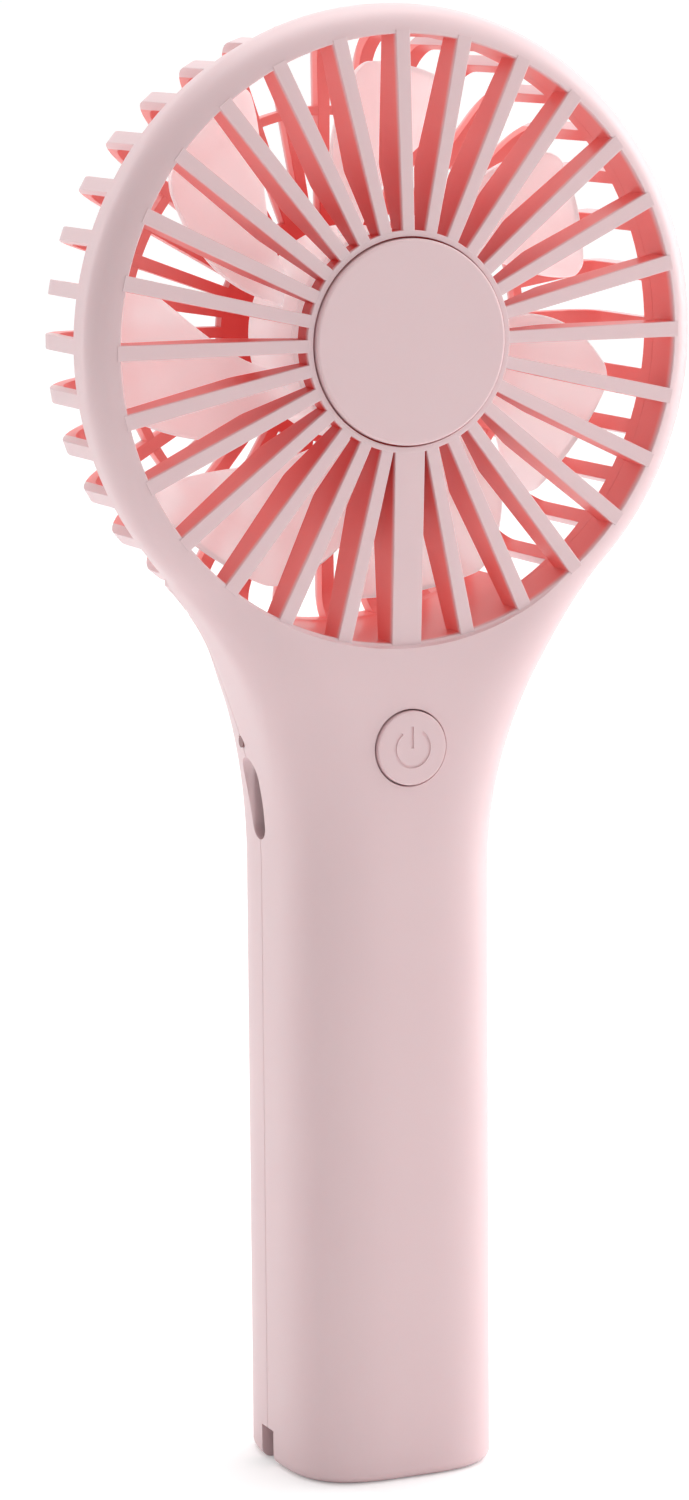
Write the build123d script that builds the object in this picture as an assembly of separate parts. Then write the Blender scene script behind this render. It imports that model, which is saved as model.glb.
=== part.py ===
from build123d import *
import math
import os

# A handheld electric fan that stands on the flat end of its handle.
# Millimetres. Origin: centre of the base. +Z runs up the handle and the air leaves towards -Y.

# ---- driving dimensions ------------------------------------------------------------------
head_height = 174.1          # centre of the fan head above the base
rim_radius = 49.65           # outside of the round head, before its edge is rounded
rim_rounding = 5.5
rim_front = -15.4            # flat front of the rim
rim_taper = 0.3              # how much the flank closes in towards the joint
duct_radius = 45.0           # round passage that the air goes through

handle_half_width = 16.75
handle_half_depth = 16.6
handle_squareness = 3.1      # exponent of the handle's rounded-square section
handle_straight = 93.0       # height at which the neck starts to flare
base_rounding = 1.6
wall = 2.0

joint_at_head = -8.4         # where the two shells meet, on the head and on the handle
joint_at_handle = 1.5
joint_rise_start = 116.0
joint_rise_end = 146.0

rib_count = 28
rib_width_hub = 1.9
rib_width_rim = 2.3
wide_rib = 4.8               # the bottom rib, which carries the motor leads
rib_depth_rim = 5.2
rib_depth_hub = 3.8
rib_depth_knee = 7.9
rib_knee_radius = 25.7
hub_dome = 1.7               # how far the middle of the grille stands in front of the rim
hub_radius = 16.45
cap_radius = 15.27
cap_gap = 0.27
cap_proud = 0.9
cap_thickness = 2.1
hub_back = -13.3             # back of the ring that the ribs run into
grille_draft = 0.6           # how far a rib reaches into what it joins

ring_radius = 48.7           # band behind the joint
ring_back = -5.5
fin_count = 36
fin_radius = 46.8
fin_width_rim = 2.3
fin_width_hub = 1.6
fin_depth = 2.75             # depth of the fins and rings across the back
guard_back = 16.0
guard_corner = 6.5
middle_ring_radius = 33.7
middle_ring_width = 1.4
rear_hub_radius = 17.0
rear_hub_disc = 1.6
neck_gap_radius = 44.6       # outer end of the gaps in front of the solid neck
neck_gap_angle = 26.0        # half of the sector that the neck closes
flare_gap_radius = 50.5      # outer end of the gaps beside it, in the flare
flare_gap_angle = 44.0

motor_radius = 12.2
motor_length = 12.3
motor_sheet = 0.6
motor_front = -14.2          # terminal end of the motor, behind the centre cap
motor_clearance = 0.05
end_cap_thickness = 1.6
hub_wall = 1.5
bush_radius = 2.4
bush_length = 1.6
shaft_radius = 1.0
shaft_gap = 0.03             # radial running clearance
rotor_air_gap = 0.4
magnet_thickness = 1.8
magnet_arc = 130.0
core_length = 5.0
pole_count = 3
pole_arm = 3.2
pole_shoe = 1.4
commutator_radius = 2.6
commutator_length = 2.2
brush_gap = 0.05
terminal_offset = 3.6
terminal_length = 1.5
motor_screw_offset = 8.0
motor_screw_radius = 0.8
motor_screw_gap = 0.02
motor_screw_head = 0.9
terminal_half_width = 1.0
terminal_half_thickness = 0.25
brush_length = 1.8
brush_half_width = 0.9
coil_thickness = 0.9
coil_overhang = 0.6
magnet_overhang = 0.4

blade_count = 7
blade_phase = 26.0
blade_tip_radius = 40.75
blade_thickness = 1.2
blade_pitch_hub = 34.0
blade_pitch_tip = 23.5
blade_corner = 2.0
# edges of a blade seen from the front at three o'clock: (outwards, sideways) from the axis
blade_leading = ((13.0, 8.6), (18.6, 11.8), (24.4, 13.7), (28.8, 14.0), (33.6, 12.9), (37.2, 11.6),
                 (41.5, 9.4))
blade_trailing = ((14.5, 4.5), (19.5, 3.0), (23.3, 0.4), (28.7, -4.3), (31.2, -6.8), (34.8, -9.3),
                  (41.5, -11.8))
blade_reach = 40.0             # width of the twisted strip that the outline is cut from
blade_root = 12.0              # where that strip starts, inside the hub
blade_middle = 1.2             # axial place of the blades
impeller_hub_radius = 16.2
impeller_hub_wall = 1.2
impeller_hub_front = -10.5
impeller_hub_back = 6.6
impeller_bush_radius = 2.4

button_height = 113.4
button_radius = 5.63
button_gap = 0.2
button_proud = 0.6
button_travel = 0.4
button_flange = 1.0
button_flange_gap = 0.15
button_stem_radius = 1.5
button_edge = 0.3
symbol_radius = 2.8
symbol_groove = 0.45
symbol_depth = 0.25
symbol_opening = 70.0        # degrees left open at the top of the symbol's arc

board_thickness = 1.2
board_half_width = 11.0
board_bottom = 86.0
board_top = 119.0
socket_height = 103.9        # middle of the charging socket
socket_opening_tall = 11.8
socket_opening_wide = 4.5
socket_mouth = -14.4
socket_length = 7.3
socket_tall = 8.94
socket_thick = 3.2
socket_sheet = 0.3
tongue_thickness = 0.7
light_height = 113.2
light_radius = 0.9
light_gap = 0.1
light_end_gap = 0.5          # air between the light guide and the board
switch_size = 6.0
switch_tall = 3.5
plunger_radius = 1.7
plunger_tall = 0.8
plunger_well = 1.2           # depth of the switch's hole around its plunger
plunger_reserve = 0.3        # depth left when the button is fully pressed
rail_edge = 1.0              # from the board's edge to the rail that it lies on
rail_width = 1.2
rail_short = (3.0, 4.0)      # how much shorter the rails are than the board, below and above

cell_radius = 9.2
cell_length = 65.0
cell_bottom = 10.5
cell_clearance = 0.15
cell_end_gap = 0.4
tab_thickness = 0.3
pad_half_width = 5.0
pad_gap = 0.3                # between a pad and the casing
cell_edge = 0.6
cradle_heights = (8.6, 22.0, 64.0)
cradle_thickness = 1.4
lead_radius = 0.6
lead_notch_radius = 1.4
lead_corner = 9.4            # the battery's long lead runs in this corner, in x and -y
lead_slot_x = (3.4, 10.9)    # way under the cell for the same lead
lead_slot_y = (-10.9, -3.2)
lead_channel_half = 1.5      # way through the wide rib for the two motor leads
lead_channel_front = -13.2
lead_channel_back = -11.6
hub_notch_half = 2.5         # way out of the motor cup, where the two leads come together
hub_notch_reach = 3.0        # how far that way runs on behind the wide rib

strap_wide = 4.5
strap_tall = 5.4
strap_deep = 7.6
strap_pin_radius = 0.8
strap_pin_x = -11.2
strap_pin_reach = 1.4        # how far the pin goes into the recess's side walls

screw_radius = 1.0
screw_seat = 6.0             # where the heads of the casing screws bear
screw_end = -4.0
screw_head_radius = 1.9
screw_head_tall = 1.4
screw_clearance = 0.1
cross_reach = 1.1            # arms of the cross in a screw's head
cross_half = 0.25
cross_floor = 0.6
front_boss_radius = 2.4
rear_boss_radius = 3.0
screw_places = ((0, 5.8), (0, 80.8), (-14.2, 121.6), (14.2, 121.6))   # x, z

# ---- derived places ----------------------------------------------------------------------
neck_radius = ((handle_half_width**2 + (head_height - handle_straight) ** 2 - rim_radius**2)
               / (2 * (rim_radius - handle_half_width)))
neck_turn = math.atan2(head_height - handle_straight, handle_half_width + neck_radius)
neck_top = head_height - rim_radius * math.sin(neck_turn)      # where the neck meets the round head
hub_front = rim_front - hub_dome
cap_front = hub_front - cap_proud
cap_back = cap_front + cap_thickness
motor_back = motor_front + motor_length
board_back = joint_at_handle - socket_thick / 2
board_front = board_back - board_thickness
switch_front = board_front - switch_tall
head_axis = Axis((0, 0, head_height), (0, 1, 0))
beyond = 80.0                # long enough to pass through everything


# ---- helpers -----------------------------------------------------------------------------
def block(x, y, z):
    """A box between two limits on each axis."""
    size = [high - low for low, high in (x, y, z)]
    middle = [(high + low) / 2 for low, high in (x, y, z)]
    return Pos(*middle) * Box(*size)


def drum(radius, y, x=0, z=head_height):
    """A cylinder along Y between two limits."""
    return Pos(x, (y[0] + y[1]) / 2, z) * Rot(90, 0, 0) * Cylinder(radius, y[1] - y[0])


def tube(outer, inner, y, x=0, z=head_height):
    return drum(outer, y, x, z) - drum(inner, (y[0] - 1, y[1] + 1), x, z)


def turned(*outline):
    """A profile of (radius, y) points, turned about the head's axis."""
    face = make_face(Polyline(*outline, close=True))
    return revolve(Pos(0, 0, head_height) * face, axis=head_axis)


def around(piece, angle):
    """A piece made at three o'clock on the head, turned to an angle."""
    return Pos(0, 0, head_height) * Rot(0, -angle, 0) * Pos(0, 0, -head_height) * piece


def smooth(low, high, value):
    share = min(max((value - low) / (high - low), 0), 1)
    return share * share * (3 - 2 * share)


def mixed(a, b, share):
    return a + (b - a) * share


def save(solid, name, colour):
    solid.label = name
    solid.color = Color(*colour)
    nodes[name] = solid


nodes = {}
PINK = (0.90, 0.76, 0.78)
FROST = (0.96, 0.84, 0.85, 0.6)
STEEL = (0.62, 0.63, 0.65)
BRASS = (0.80, 0.65, 0.35)
BLACK = (0.10, 0.10, 0.11)


# ---- casing: outer form ------------------------------------------------------------------
def neck_half_width(z):
    """Half of the outline's width: straight handle, then an arc tangent to the round head."""
    if z <= handle_straight:
        return handle_half_width
    rise = z - handle_straight
    return handle_half_width + neck_radius - math.sqrt(neck_radius**2 - rise**2)


def corner(wide, deep, squareness, steps=8):
    """Points of a rounded corner from its side (wide, 0) to its end (0, deep)."""
    points = []
    for i in range(steps + 1):
        turn = math.pi / 2 * i / steps
        points.append((wide * math.cos(turn) ** (2 / squareness),
                       deep * math.sin(turn) ** (2 / squareness)))
    return points


def section(z, inset=0.0):
    """The closed section of handle and neck at a height. The front corners turn from the handle's
    rounded square to the head's rim, and the back sinks towards the band behind the head."""
    share = smooth(handle_straight, neck_top, z)
    half = neck_half_width(z) - inset
    front = mixed(handle_half_depth, -rim_front, smooth(neck_top - 16, neck_top, z)) - inset
    back = mixed(handle_half_depth, ring_back + 3, smooth(neck_top - 18, neck_top, z)) - inset
    flank = mixed(0, ring_back, share)
    wide = mixed(half - 1, rim_rounding / math.cos(neck_turn) + 2, share)
    deep = mixed(front - 1, rim_rounding + 1, share)
    front_squareness = mixed(handle_squareness, 2.3, share)
    back_squareness = mixed(handle_squareness, 2.0, share)
    right = [(0, -front), ((half - wide) / 2, -front)]
    right += [(half - wide + x, -front + deep - y)
              for x, y in reversed(corner(wide, deep, front_squareness))]
    right += [(x, flank + y) for x, y in corner(half, back - flank, back_squareness)[1:]]
    left = [(-x, y) for x, y in reversed(right[1:-1])]
    return make_face(Spline([(x, y, z) for x, y in right + left], periodic=True))


def casing_form(inset=0.0, bottom=0.0):
    """Handle and neck as one solid, drawn in by a wall for the inside."""
    straight = extrude(section(bottom, inset), amount=handle_straight - bottom)
    steps = 7
    heights = [mixed(handle_straight, neck_top, i / steps) for i in range(steps + 1)]
    flare = loft([section(z, inset) for z in heights])
    return straight + flare


def joint_block(front):
    """Everything in front of, or behind, the joint between the two shells."""
    edge = Spline((0, joint_at_handle, joint_rise_start), (0, joint_at_head, joint_rise_end),
                  tangents=((0, 0, 1), (0, 0, 1)))
    side = -beyond if front else beyond
    outline = [edge, Polyline((0, joint_at_head, joint_rise_end), (0, joint_at_head, 3 * beyond),
                              (0, side, 3 * beyond), (0, side, -beyond),
                              (0, joint_at_handle, -beyond), (0, joint_at_handle, joint_rise_start))]
    return extrude(make_face(outline), amount=beyond, both=True, dir=(1, 0, 0))


def guard_profile(radius, front, back, corner_radius):
    """A cylinder of the head with a rounded edge at its back."""
    solid = drum(radius, (front, back))
    rear_edge = solid.edges().sort_by(Axis.Y)[-1]
    return fillet(rear_edge, corner_radius)


# ---- casing: solid form, hollows and split -----------------------------------------------
rim = turned((0, rim_front), (rim_radius, rim_front), (rim_radius - rim_taper, joint_at_head),
             (ring_radius, joint_at_head), (ring_radius, ring_back), (0, ring_back))
rim = fillet(rim.edges().filter_by(GeomType.CIRCLE).sort_by(Axis.Y)[0], rim_rounding)
guard = guard_profile(fin_radius, joint_at_head, guard_back, guard_corner)
duct = guard_profile(duct_radius, -beyond, guard_back - fin_depth, guard_corner - 2)
handle = casing_form()
handle = fillet(handle.edges().sort_by(Axis.Z)[0], base_rounding)
inside = casing_form(wall, wall) - drum(duct_radius + wall, (-beyond, beyond))
casing = rim + handle + guard - duct - inside

cradles = []
for height in cradle_heights:
    slab = block((-beyond, beyond), (-beyond, beyond), (height, height + cradle_thickness))
    cradles.append(inside & slab)
cell_space = Pos(0, 0, cell_bottom + cell_length / 2) * Cylinder(
    cell_radius + cell_clearance, cell_length + 2 * cell_end_gap)
lead_notch = Pos(lead_corner, -lead_corner, handle_straight / 2) * Cylinder(
    lead_notch_radius, handle_straight)
lead_slot = block(lead_slot_x, lead_slot_y,
                  (cradle_heights[0] - 1, cradle_heights[0] + cradle_thickness + 1))
casing = casing + [c - cell_space - lead_notch - lead_slot for c in cradles]

rail_outer = board_half_width - rail_edge
rail_inner = rail_outer - rail_width
rails = block((-rail_outer, rail_outer), (-beyond, board_front),
              (board_bottom + rail_short[0], board_top - rail_short[1])) & inside
rails = rails - block((-rail_inner, rail_inner), (-beyond, beyond), (0, head_height))
casing = casing + rails

for x, z in screw_places:
    casing = casing + (drum(front_boss_radius, (-beyond, joint_at_handle), x, z) & inside)
    casing = casing + (drum(rear_boss_radius, (joint_at_handle, beyond), x, z) & inside)
for x, z in screw_places:
    casing = casing - drum(screw_radius + screw_clearance, (screw_end - 1, screw_seat + 1), x, z)
    casing = casing - drum(screw_head_radius + screw_clearance, (screw_seat, beyond), x, z)
slot_wide = socket_opening_wide / 2
slot_tall = socket_opening_tall / 2 - slot_wide
charging_slot = block((-beyond, socket_mouth),
                      (joint_at_handle - slot_wide, joint_at_handle + slot_wide),
                      (socket_height - slot_tall, socket_height + slot_tall))
for z in (socket_height - slot_tall, socket_height + slot_tall):
    charging_slot = charging_slot + Pos((socket_mouth - beyond) / 2, joint_at_handle, z) * Rot(
        0, 90, 0) * Cylinder(slot_wide, beyond + socket_mouth)
strap_front = joint_at_handle - strap_wide / 2
strap_back = joint_at_handle + strap_wide / 2
strap_recess = block((-beyond, strap_deep - handle_half_width), (strap_front, strap_back), (-1, strap_tall))
strap_box = block((-handle_half_width, strap_deep - handle_half_width + wall),
                  (strap_front - wall, strap_back + wall), (0, strap_tall + wall)) & inside
light_hole = Pos(-beyond / 2, joint_at_handle, light_height) * Rot(0, 90, 0) * Cylinder(
    light_radius + light_gap, beyond)
button_hole = drum(button_radius + button_gap, (-beyond, -wall), 0, button_height)
pin_end = strap_pin_reach + 0.1
pin_hole = drum(strap_pin_radius, (strap_front - pin_end, strap_back + pin_end), strap_pin_x, strap_tall / 2)
lead_hole = block((-lead_channel_half, lead_channel_half), (lead_channel_front, lead_channel_back),
                  (head_height - duct_radius - 8, head_height - duct_radius + 2))
casing = casing + strap_box
casing = casing - [charging_slot, strap_recess, light_hole, button_hole, pin_hole, lead_hole]
front_shell = casing & joint_block(True)
rear_shell = casing & joint_block(False)


# ---- front grille: ribs and hub, one moulding with the front shell ------------------------
def rib(width_hub, width_rim):
    """A rib at three o'clock: a wedge seen from the front, with a bent back edge."""
    start, end = hub_radius - grille_draft, duct_radius + grille_draft
    wedge = make_face(Polyline((start, width_hub / 2), (end, width_rim / 2), (end, -width_rim / 2),
                               (start, -width_hub / 2), close=True))
    side = make_face(Polyline((start, hub_front), (end, rim_front), (end, rim_front + rib_depth_rim),
                              (rib_knee_radius, rim_front - hub_dome * 0.68 + rib_depth_knee),
                              (start, hub_front + rib_depth_hub), close=True))
    seen = Rot(90, 0, 0) * extrude(wedge, amount=beyond, both=True)
    return Pos(0, 0, head_height) * (seen & extrude(side, amount=beyond, both=True))


thin_rib = rib(rib_width_hub, rib_width_rim)
ribs = [around(thin_rib, 90 + 360 / rib_count * i) for i in range(rib_count) if i != rib_count / 2]
lead_channel = block((-lead_channel_half, lead_channel_half), (lead_channel_front + 0.15, beyond),
                     (0, head_height))
ribs.append(around(rib(wide_rib, wide_rib), -90) - lead_channel)

cup_radius = motor_radius + motor_clearance
hub = turned((cup_radius, cap_back), (cap_radius + cap_gap, cap_back), (cap_radius + cap_gap, hub_front),
             (hub_radius, hub_front), (hub_radius, hub_back), (cup_radius + hub_wall, hub_back),
             (cup_radius + hub_wall, motor_back + hub_wall), (bush_radius + 0.6, motor_back + hub_wall),
             (bush_radius + 0.6, motor_back), (cup_radius, motor_back))
for side in (-1, 1):
    hub = hub - drum(motor_screw_radius + screw_clearance, (motor_back - 1, motor_back + 3),
                     side * motor_screw_offset)
front_shell = front_shell + (ribs + [hub])
notch_y = (cap_back - 0.1, impeller_hub_front)
hub_notch = block((-hub_notch_half, hub_notch_half), notch_y,
                  (head_height - hub_radius + 0.6, head_height - cup_radius + 1))
hub_notch = hub_notch + block((-lead_channel_half, lead_channel_half), notch_y,
                              (head_height - hub_radius - hub_notch_reach, head_height - cup_radius))
front_shell = front_shell - hub_notch
print("front", front_shell.is_valid, len(front_shell.solids()), round(front_shell.volume))


# ---- rear guard: gaps between the fins, rings and hub, one moulding with the rear shell ----
def fin_gap(outer):
    """The space between two fins, at three o'clock. The fins are thinner towards the hub."""
    share = (outer - rear_hub_radius) / (fin_radius - rear_hub_radius)
    pitch = 2 * math.tan(math.pi / fin_count)
    narrow = pitch * rear_hub_radius - fin_width_hub
    broad = pitch * outer - mixed(fin_width_hub, fin_width_rim, share)
    wedge = make_face(Polyline((rear_hub_radius, narrow / 2), (outer, broad / 2), (outer, -broad / 2),
                               (rear_hub_radius, -narrow / 2), close=True))
    gap = Rot(90, 0, 0) * extrude(wedge, amount=beyond, both=True)
    return Pos(0, 0, head_height) * (gap & block((-beyond, beyond), (ring_back, beyond), (-beyond, beyond)))


gaps = []
for i in range(fin_count):
    angle = 360 / fin_count * (i + 0.5)
    from_neck = abs((angle + 90 + 180) % 360 - 180)
    outer = fin_radius + 1
    if from_neck < flare_gap_angle:
        outer = flare_gap_radius
    if from_neck < neck_gap_angle:
        outer = neck_gap_radius
    gaps.append(around(fin_gap(outer), angle))
rear_front = guard_back - fin_depth
middle_ring = tube(middle_ring_radius, middle_ring_radius - middle_ring_width, (rear_front, guard_back))
rear_hub = drum(rear_hub_radius + 0.4, (guard_back - rear_hub_disc, guard_back)) + tube(
    rear_hub_radius + 0.4, rear_hub_radius - 2.5, (rear_front, guard_back))
rear_shell = rear_shell - gaps
rear_shell = rear_shell + [middle_ring, rear_hub]
print("rear", rear_shell.is_valid, len(rear_shell.solids()), round(rear_shell.volume))
save(front_shell, "front_shell", PINK)
save(rear_shell, "rear_shell", PINK)


# ---- centre cap, button, screws, pins and light guide --------------------------------------
centre_cap = drum(cap_radius, (cap_front, cap_back))
cap_edge = centre_cap.edges().filter_by(GeomType.CIRCLE).sort_by(Axis.Y)[0]
save(fillet(cap_edge, cap_proud / 2), "centre_cap", PINK)

button_face = -handle_half_depth - button_proud
button_flange_front = wall - handle_half_depth + button_flange_gap
plunger_front = switch_front - plunger_tall
power_button = drum(button_radius, (button_face, button_flange_front + button_flange), 0, button_height)
power_button = fillet(power_button.edges().filter_by(GeomType.CIRCLE).sort_by(Axis.Y)[0], button_edge)
flange_y = (button_flange_front, button_flange_front + button_flange)
power_button = power_button + drum(button_radius + button_flange, flange_y, 0, button_height)
power_button = power_button + drum(button_stem_radius, (button_flange_front, plunger_front), 0, button_height)
groove_y = (button_face - 1, button_face + symbol_depth)
symbol = tube(symbol_radius + symbol_groove / 2, symbol_radius - symbol_groove / 2,
              groove_y, 0, button_height)
opening_half = beyond * math.tan(math.radians(symbol_opening / 2))
opening = make_face(Polyline((0, 0), (-opening_half, beyond), (opening_half, beyond), close=True))
symbol = symbol - Pos(0, 0, button_height) * Rot(90, 0, 0) * extrude(opening, amount=beyond, both=True)
symbol = symbol + block((-symbol_groove / 2, symbol_groove / 2), groove_y,
                        (button_height, button_height + symbol_radius + symbol_groove))
save(power_button - symbol, "power_button", PINK)

screws = []
for x, z in screw_places:
    head = drum(screw_head_radius, (screw_seat, screw_seat + screw_head_tall), x, z)
    cross_y = (screw_seat + cross_floor, beyond)
    cross = block((x - cross_reach, x + cross_reach), cross_y, (z - cross_half, z + cross_half))
    cross = cross + block((x - cross_half, x + cross_half), cross_y, (z - cross_reach, z + cross_reach))
    screws.append(head - cross + drum(screw_radius, (screw_end, screw_seat), x, z))
save(Compound(screws), "casing_screws", STEEL)
pin_y = (strap_front - strap_pin_reach, strap_back + strap_pin_reach)
save(drum(strap_pin_radius - shaft_gap, pin_y, strap_pin_x, strap_tall / 2), "strap_pin", STEEL)
light_start = -neck_half_width(light_height)
light_end = -board_half_width - light_end_gap
save(Pos((light_start + light_end) / 2, joint_at_handle, light_height) * Rot(0, 90, 0) * Cylinder(
    light_radius, light_end - light_start), "light_guide", (0.9, 0.9, 0.92, 0.6))


# ---- motor: the fixed half -----------------------------------------------------------------
can_inner = motor_radius - motor_sheet
can_floor = motor_back - motor_sheet
motor_can = turned((motor_radius, motor_front), (motor_radius, motor_back), (bush_radius, motor_back),
                   (bush_radius, can_floor), (can_inner, can_floor), (can_inner, motor_front))
for side in (-1, 1):
    motor_can = motor_can - drum(motor_screw_radius, (can_floor - 1, motor_back + 1),
                                 side * motor_screw_offset)
save(motor_can, "motor_can", STEEL)

end_cap_back = motor_front + end_cap_thickness
terminal_z = (head_height - terminal_half_thickness, head_height + terminal_half_thickness)
end_cap = tube(can_inner - motor_clearance, bush_radius, (motor_front, end_cap_back))
for x in (-terminal_offset, terminal_offset):
    end_cap = end_cap - block((x - terminal_half_width, x + terminal_half_width),
                              (motor_front - 1, end_cap_back + 1), terminal_z)
save(end_cap, "motor_end_cap", BLACK)

rear_bush = tube(bush_radius, shaft_radius + shaft_gap, (motor_front, motor_front + bush_length))
front_bush = tube(bush_radius, shaft_radius + shaft_gap, (motor_back - bush_length, motor_back))
save(rear_bush, "motor_rear_bush", BRASS)
save(front_bush, "motor_front_bush", BRASS)

commutator_front = motor_front + bush_length + 0.4
commutator_back = commutator_front + commutator_length
core_front = commutator_back + 0.9
core_back = core_front + core_length
magnet_inner = can_inner - magnet_thickness
magnets = []
for side in (0, 180):
    arc = tube(can_inner - 0.01, magnet_inner, (core_front - magnet_overhang, core_back + magnet_overhang))
    keep = block((can_inner * math.cos(math.radians(magnet_arc / 2)), beyond), (-beyond, beyond),
                 (head_height - beyond, head_height + beyond))
    magnets.append(around(arc & keep, side))
save(Compound(magnets), "motor_magnets", BLACK)

terminals, brushes = [], []
for side in (-1, 1):
    x = side * terminal_offset
    terminals.append(block((x - terminal_half_width, x + terminal_half_width),
                           (motor_front - terminal_length, end_cap_back), terminal_z))
    inner = commutator_radius + brush_gap
    brush_x = sorted((side * inner, side * (inner + brush_length)))
    brushes.append(block(brush_x, (end_cap_back, commutator_back - 0.2),
                         (head_height - brush_half_width, head_height + brush_half_width)))
save(Compound(terminals), "motor_terminals", BRASS)
save(Compound(brushes), "motor_brushes", BLACK)

cup_back = motor_back + hub_wall
motor_screws = []
for side in (-1, 1):
    x = side * motor_screw_offset
    head = drum(motor_screw_radius * 2, (cup_back, cup_back + motor_screw_head), x)
    shank = drum(motor_screw_radius - motor_screw_gap, (can_floor - 0.3, cup_back), x)
    motor_screws.append(head + shank)
save(Compound(motor_screws), "motor_screws", STEEL)


# ---- rotor -----------------------------------------------------------------------------------
shaft_front = motor_front - 0.3
shaft_back = impeller_hub_back - 1.0
save(drum(shaft_radius, (shaft_front, shaft_back)), "motor_shaft", STEEL)
save(tube(commutator_radius, shaft_radius, (commutator_front, commutator_back)), "commutator", BRASS)

core_radius = magnet_inner - rotor_air_gap
core = tube(core_radius * 0.38, shaft_radius, (core_front, core_back))
windings = []
for i in range(pole_count):
    angle = 360 / pole_count * i + 90
    arm = block((core_radius * 0.3, core_radius - pole_shoe * 0.6), (core_front, core_back),
                (head_height - pole_arm / 2, head_height + pole_arm / 2))
    shoe = tube(core_radius, core_radius - pole_shoe, (core_front, core_back)) & block(
        (core_radius * 0.58, beyond), (-beyond, beyond), (0, 2 * head_height))
    core = core + [around(arm, angle), around(shoe, angle)]
    coil_half = pole_arm / 2 + coil_thickness
    coil = block((core_radius * 0.42, core_radius - pole_shoe - 0.8),
                 (core_front - coil_overhang, core_back + coil_overhang),
                 (head_height - coil_half, head_height + coil_half))
    hole = block((0, core_radius), (core_front, core_back),
                 (head_height - pole_arm / 2, head_height + pole_arm / 2))
    windings.append(around(coil - hole, angle))
save(core, "rotor_core", STEEL)
save(Compound(windings), "rotor_windings", (0.72, 0.40, 0.22))

bush_front = cup_back + 0.8
save(tube(impeller_bush_radius, shaft_radius, (bush_front, shaft_back)), "impeller_bush", BRASS)


def blade_section(outwards):
    """A thin rounded strip across the blade at a distance from the axis, turned to the pitch there."""
    share = (outwards - impeller_hub_radius) / (blade_tip_radius - impeller_hub_radius)
    pitch = mixed(blade_pitch_hub, blade_pitch_tip, share)
    strip = Rectangle(blade_reach, blade_thickness)
    place = Plane((outwards, blade_middle, head_height), x_dir=(0, 0, 1), z_dir=(1, 0, 0))
    return place * Rot(0, 0, pitch) * strip


def planform():
    """The blade's outline seen from the front, its tip on a circle and its tip corners rounded."""
    edges = (Spline(*blade_leading), Line(blade_leading[-1], blade_trailing[-1]),
             Spline(*reversed(blade_trailing)), Line(blade_trailing[0], blade_leading[0]))
    face = make_face(edges) & Rot(0, 0, 180) * Circle(blade_tip_radius)
    tips = face.vertices().sort_by(Axis.X)[-2:]
    solid = extrude(fillet(tips, blade_corner), amount=beyond, both=True)
    return Pos(0, 0, head_height) * Rot(90, 0, 0) * solid


stations = [mixed(blade_root, blade_tip_radius + 0.5, share) for share in (0, 0.25, 0.5, 0.75, 1)]
blade = loft([blade_section(place) for place in stations]) & planform()
blade = blade - drum(impeller_hub_radius - impeller_hub_wall / 2, (-beyond, beyond))
hub_inner = impeller_hub_radius - impeller_hub_wall
hub_floor = impeller_hub_back - impeller_hub_wall
impeller = turned((impeller_hub_radius, impeller_hub_front), (impeller_hub_radius, impeller_hub_back),
                  (0, impeller_hub_back), (0, shaft_back), (impeller_bush_radius, shaft_back),
                  (impeller_bush_radius, bush_front), (impeller_bush_radius + 1, bush_front),
                  (impeller_bush_radius + 1, hub_floor), (hub_inner, hub_floor),
                  (hub_inner, impeller_hub_front))
impeller = impeller + [around(blade, blade_phase + 360 / blade_count * i) for i in range(blade_count)]
print("impeller", impeller.is_valid, len(impeller.solids()))
save(impeller, "impeller", FROST)


# ---- circuit board and what sits on it -------------------------------------------------------
board = block((-board_half_width, board_half_width), (board_front, board_back), (board_bottom, board_top))
save(board, "circuit_board", (0.12, 0.36, 0.24))
switch_z = (button_height - switch_size / 2, button_height + switch_size / 2)
switch = block((-switch_size / 2, switch_size / 2), (switch_front, board_front), switch_z)
well_floor = switch_front + plunger_well
switch = switch - drum(plunger_radius + button_gap, (switch_front - 1, well_floor), 0, button_height)
save(switch, "switch_body", BLACK)
plunger_y = (plunger_front, well_floor - button_travel - plunger_reserve)
save(drum(plunger_radius, plunger_y, 0, button_height), "switch_plunger", BLACK)

socket_y = (board_back, board_back + socket_thick)
socket_z = (socket_height - socket_tall / 2, socket_height + socket_tall / 2)
socket = block((socket_mouth, socket_mouth + socket_length), socket_y, socket_z)
socket = fillet(socket.edges().filter_by(Axis.X), 1.2)
hollow = block((socket_mouth - 1, socket_mouth + socket_length - 0.8),
               [socket_y[0] + socket_sheet, socket_y[1] - socket_sheet],
               [socket_z[0] + socket_sheet, socket_z[1] - socket_sheet])
save(socket - fillet(hollow.edges().filter_by(Axis.X), 0.9), "charging_socket", STEEL)
tongue_y = (joint_at_handle - tongue_thickness / 2, joint_at_handle + tongue_thickness / 2)
save(block((socket_mouth + 0.8, socket_mouth + socket_length - 0.8), tongue_y,
           (socket_height - socket_tall * 0.36, socket_height + socket_tall * 0.36)), "socket_tongue", BLACK)
led_y = (board_back, board_back + 1.1)
leds = [block((-board_half_width + 0.1, -board_half_width + 1.7), led_y, (z - 0.8, z + 0.8))
        for z in (light_height, light_height - 2.4)]
save(Compound(leds), "status_leds", (0.95, 0.93, 0.8))
chip_places = (((-1, 4), 1.5, (107, 112)), ((4, 7), 1.1, (98, 101)), ((1, 5), 2.0, (91, 95)),
               ((-6, -4.4), 0.8, (93, 96.2)), ((7.2, 8.8), 0.8, (110, 113.2)))     # x, height, z
chips = [block(x, (board_back, board_back + tall), z) for x, tall, z in chip_places]
save(Compound(chips), "board_components", BLACK)


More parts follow.
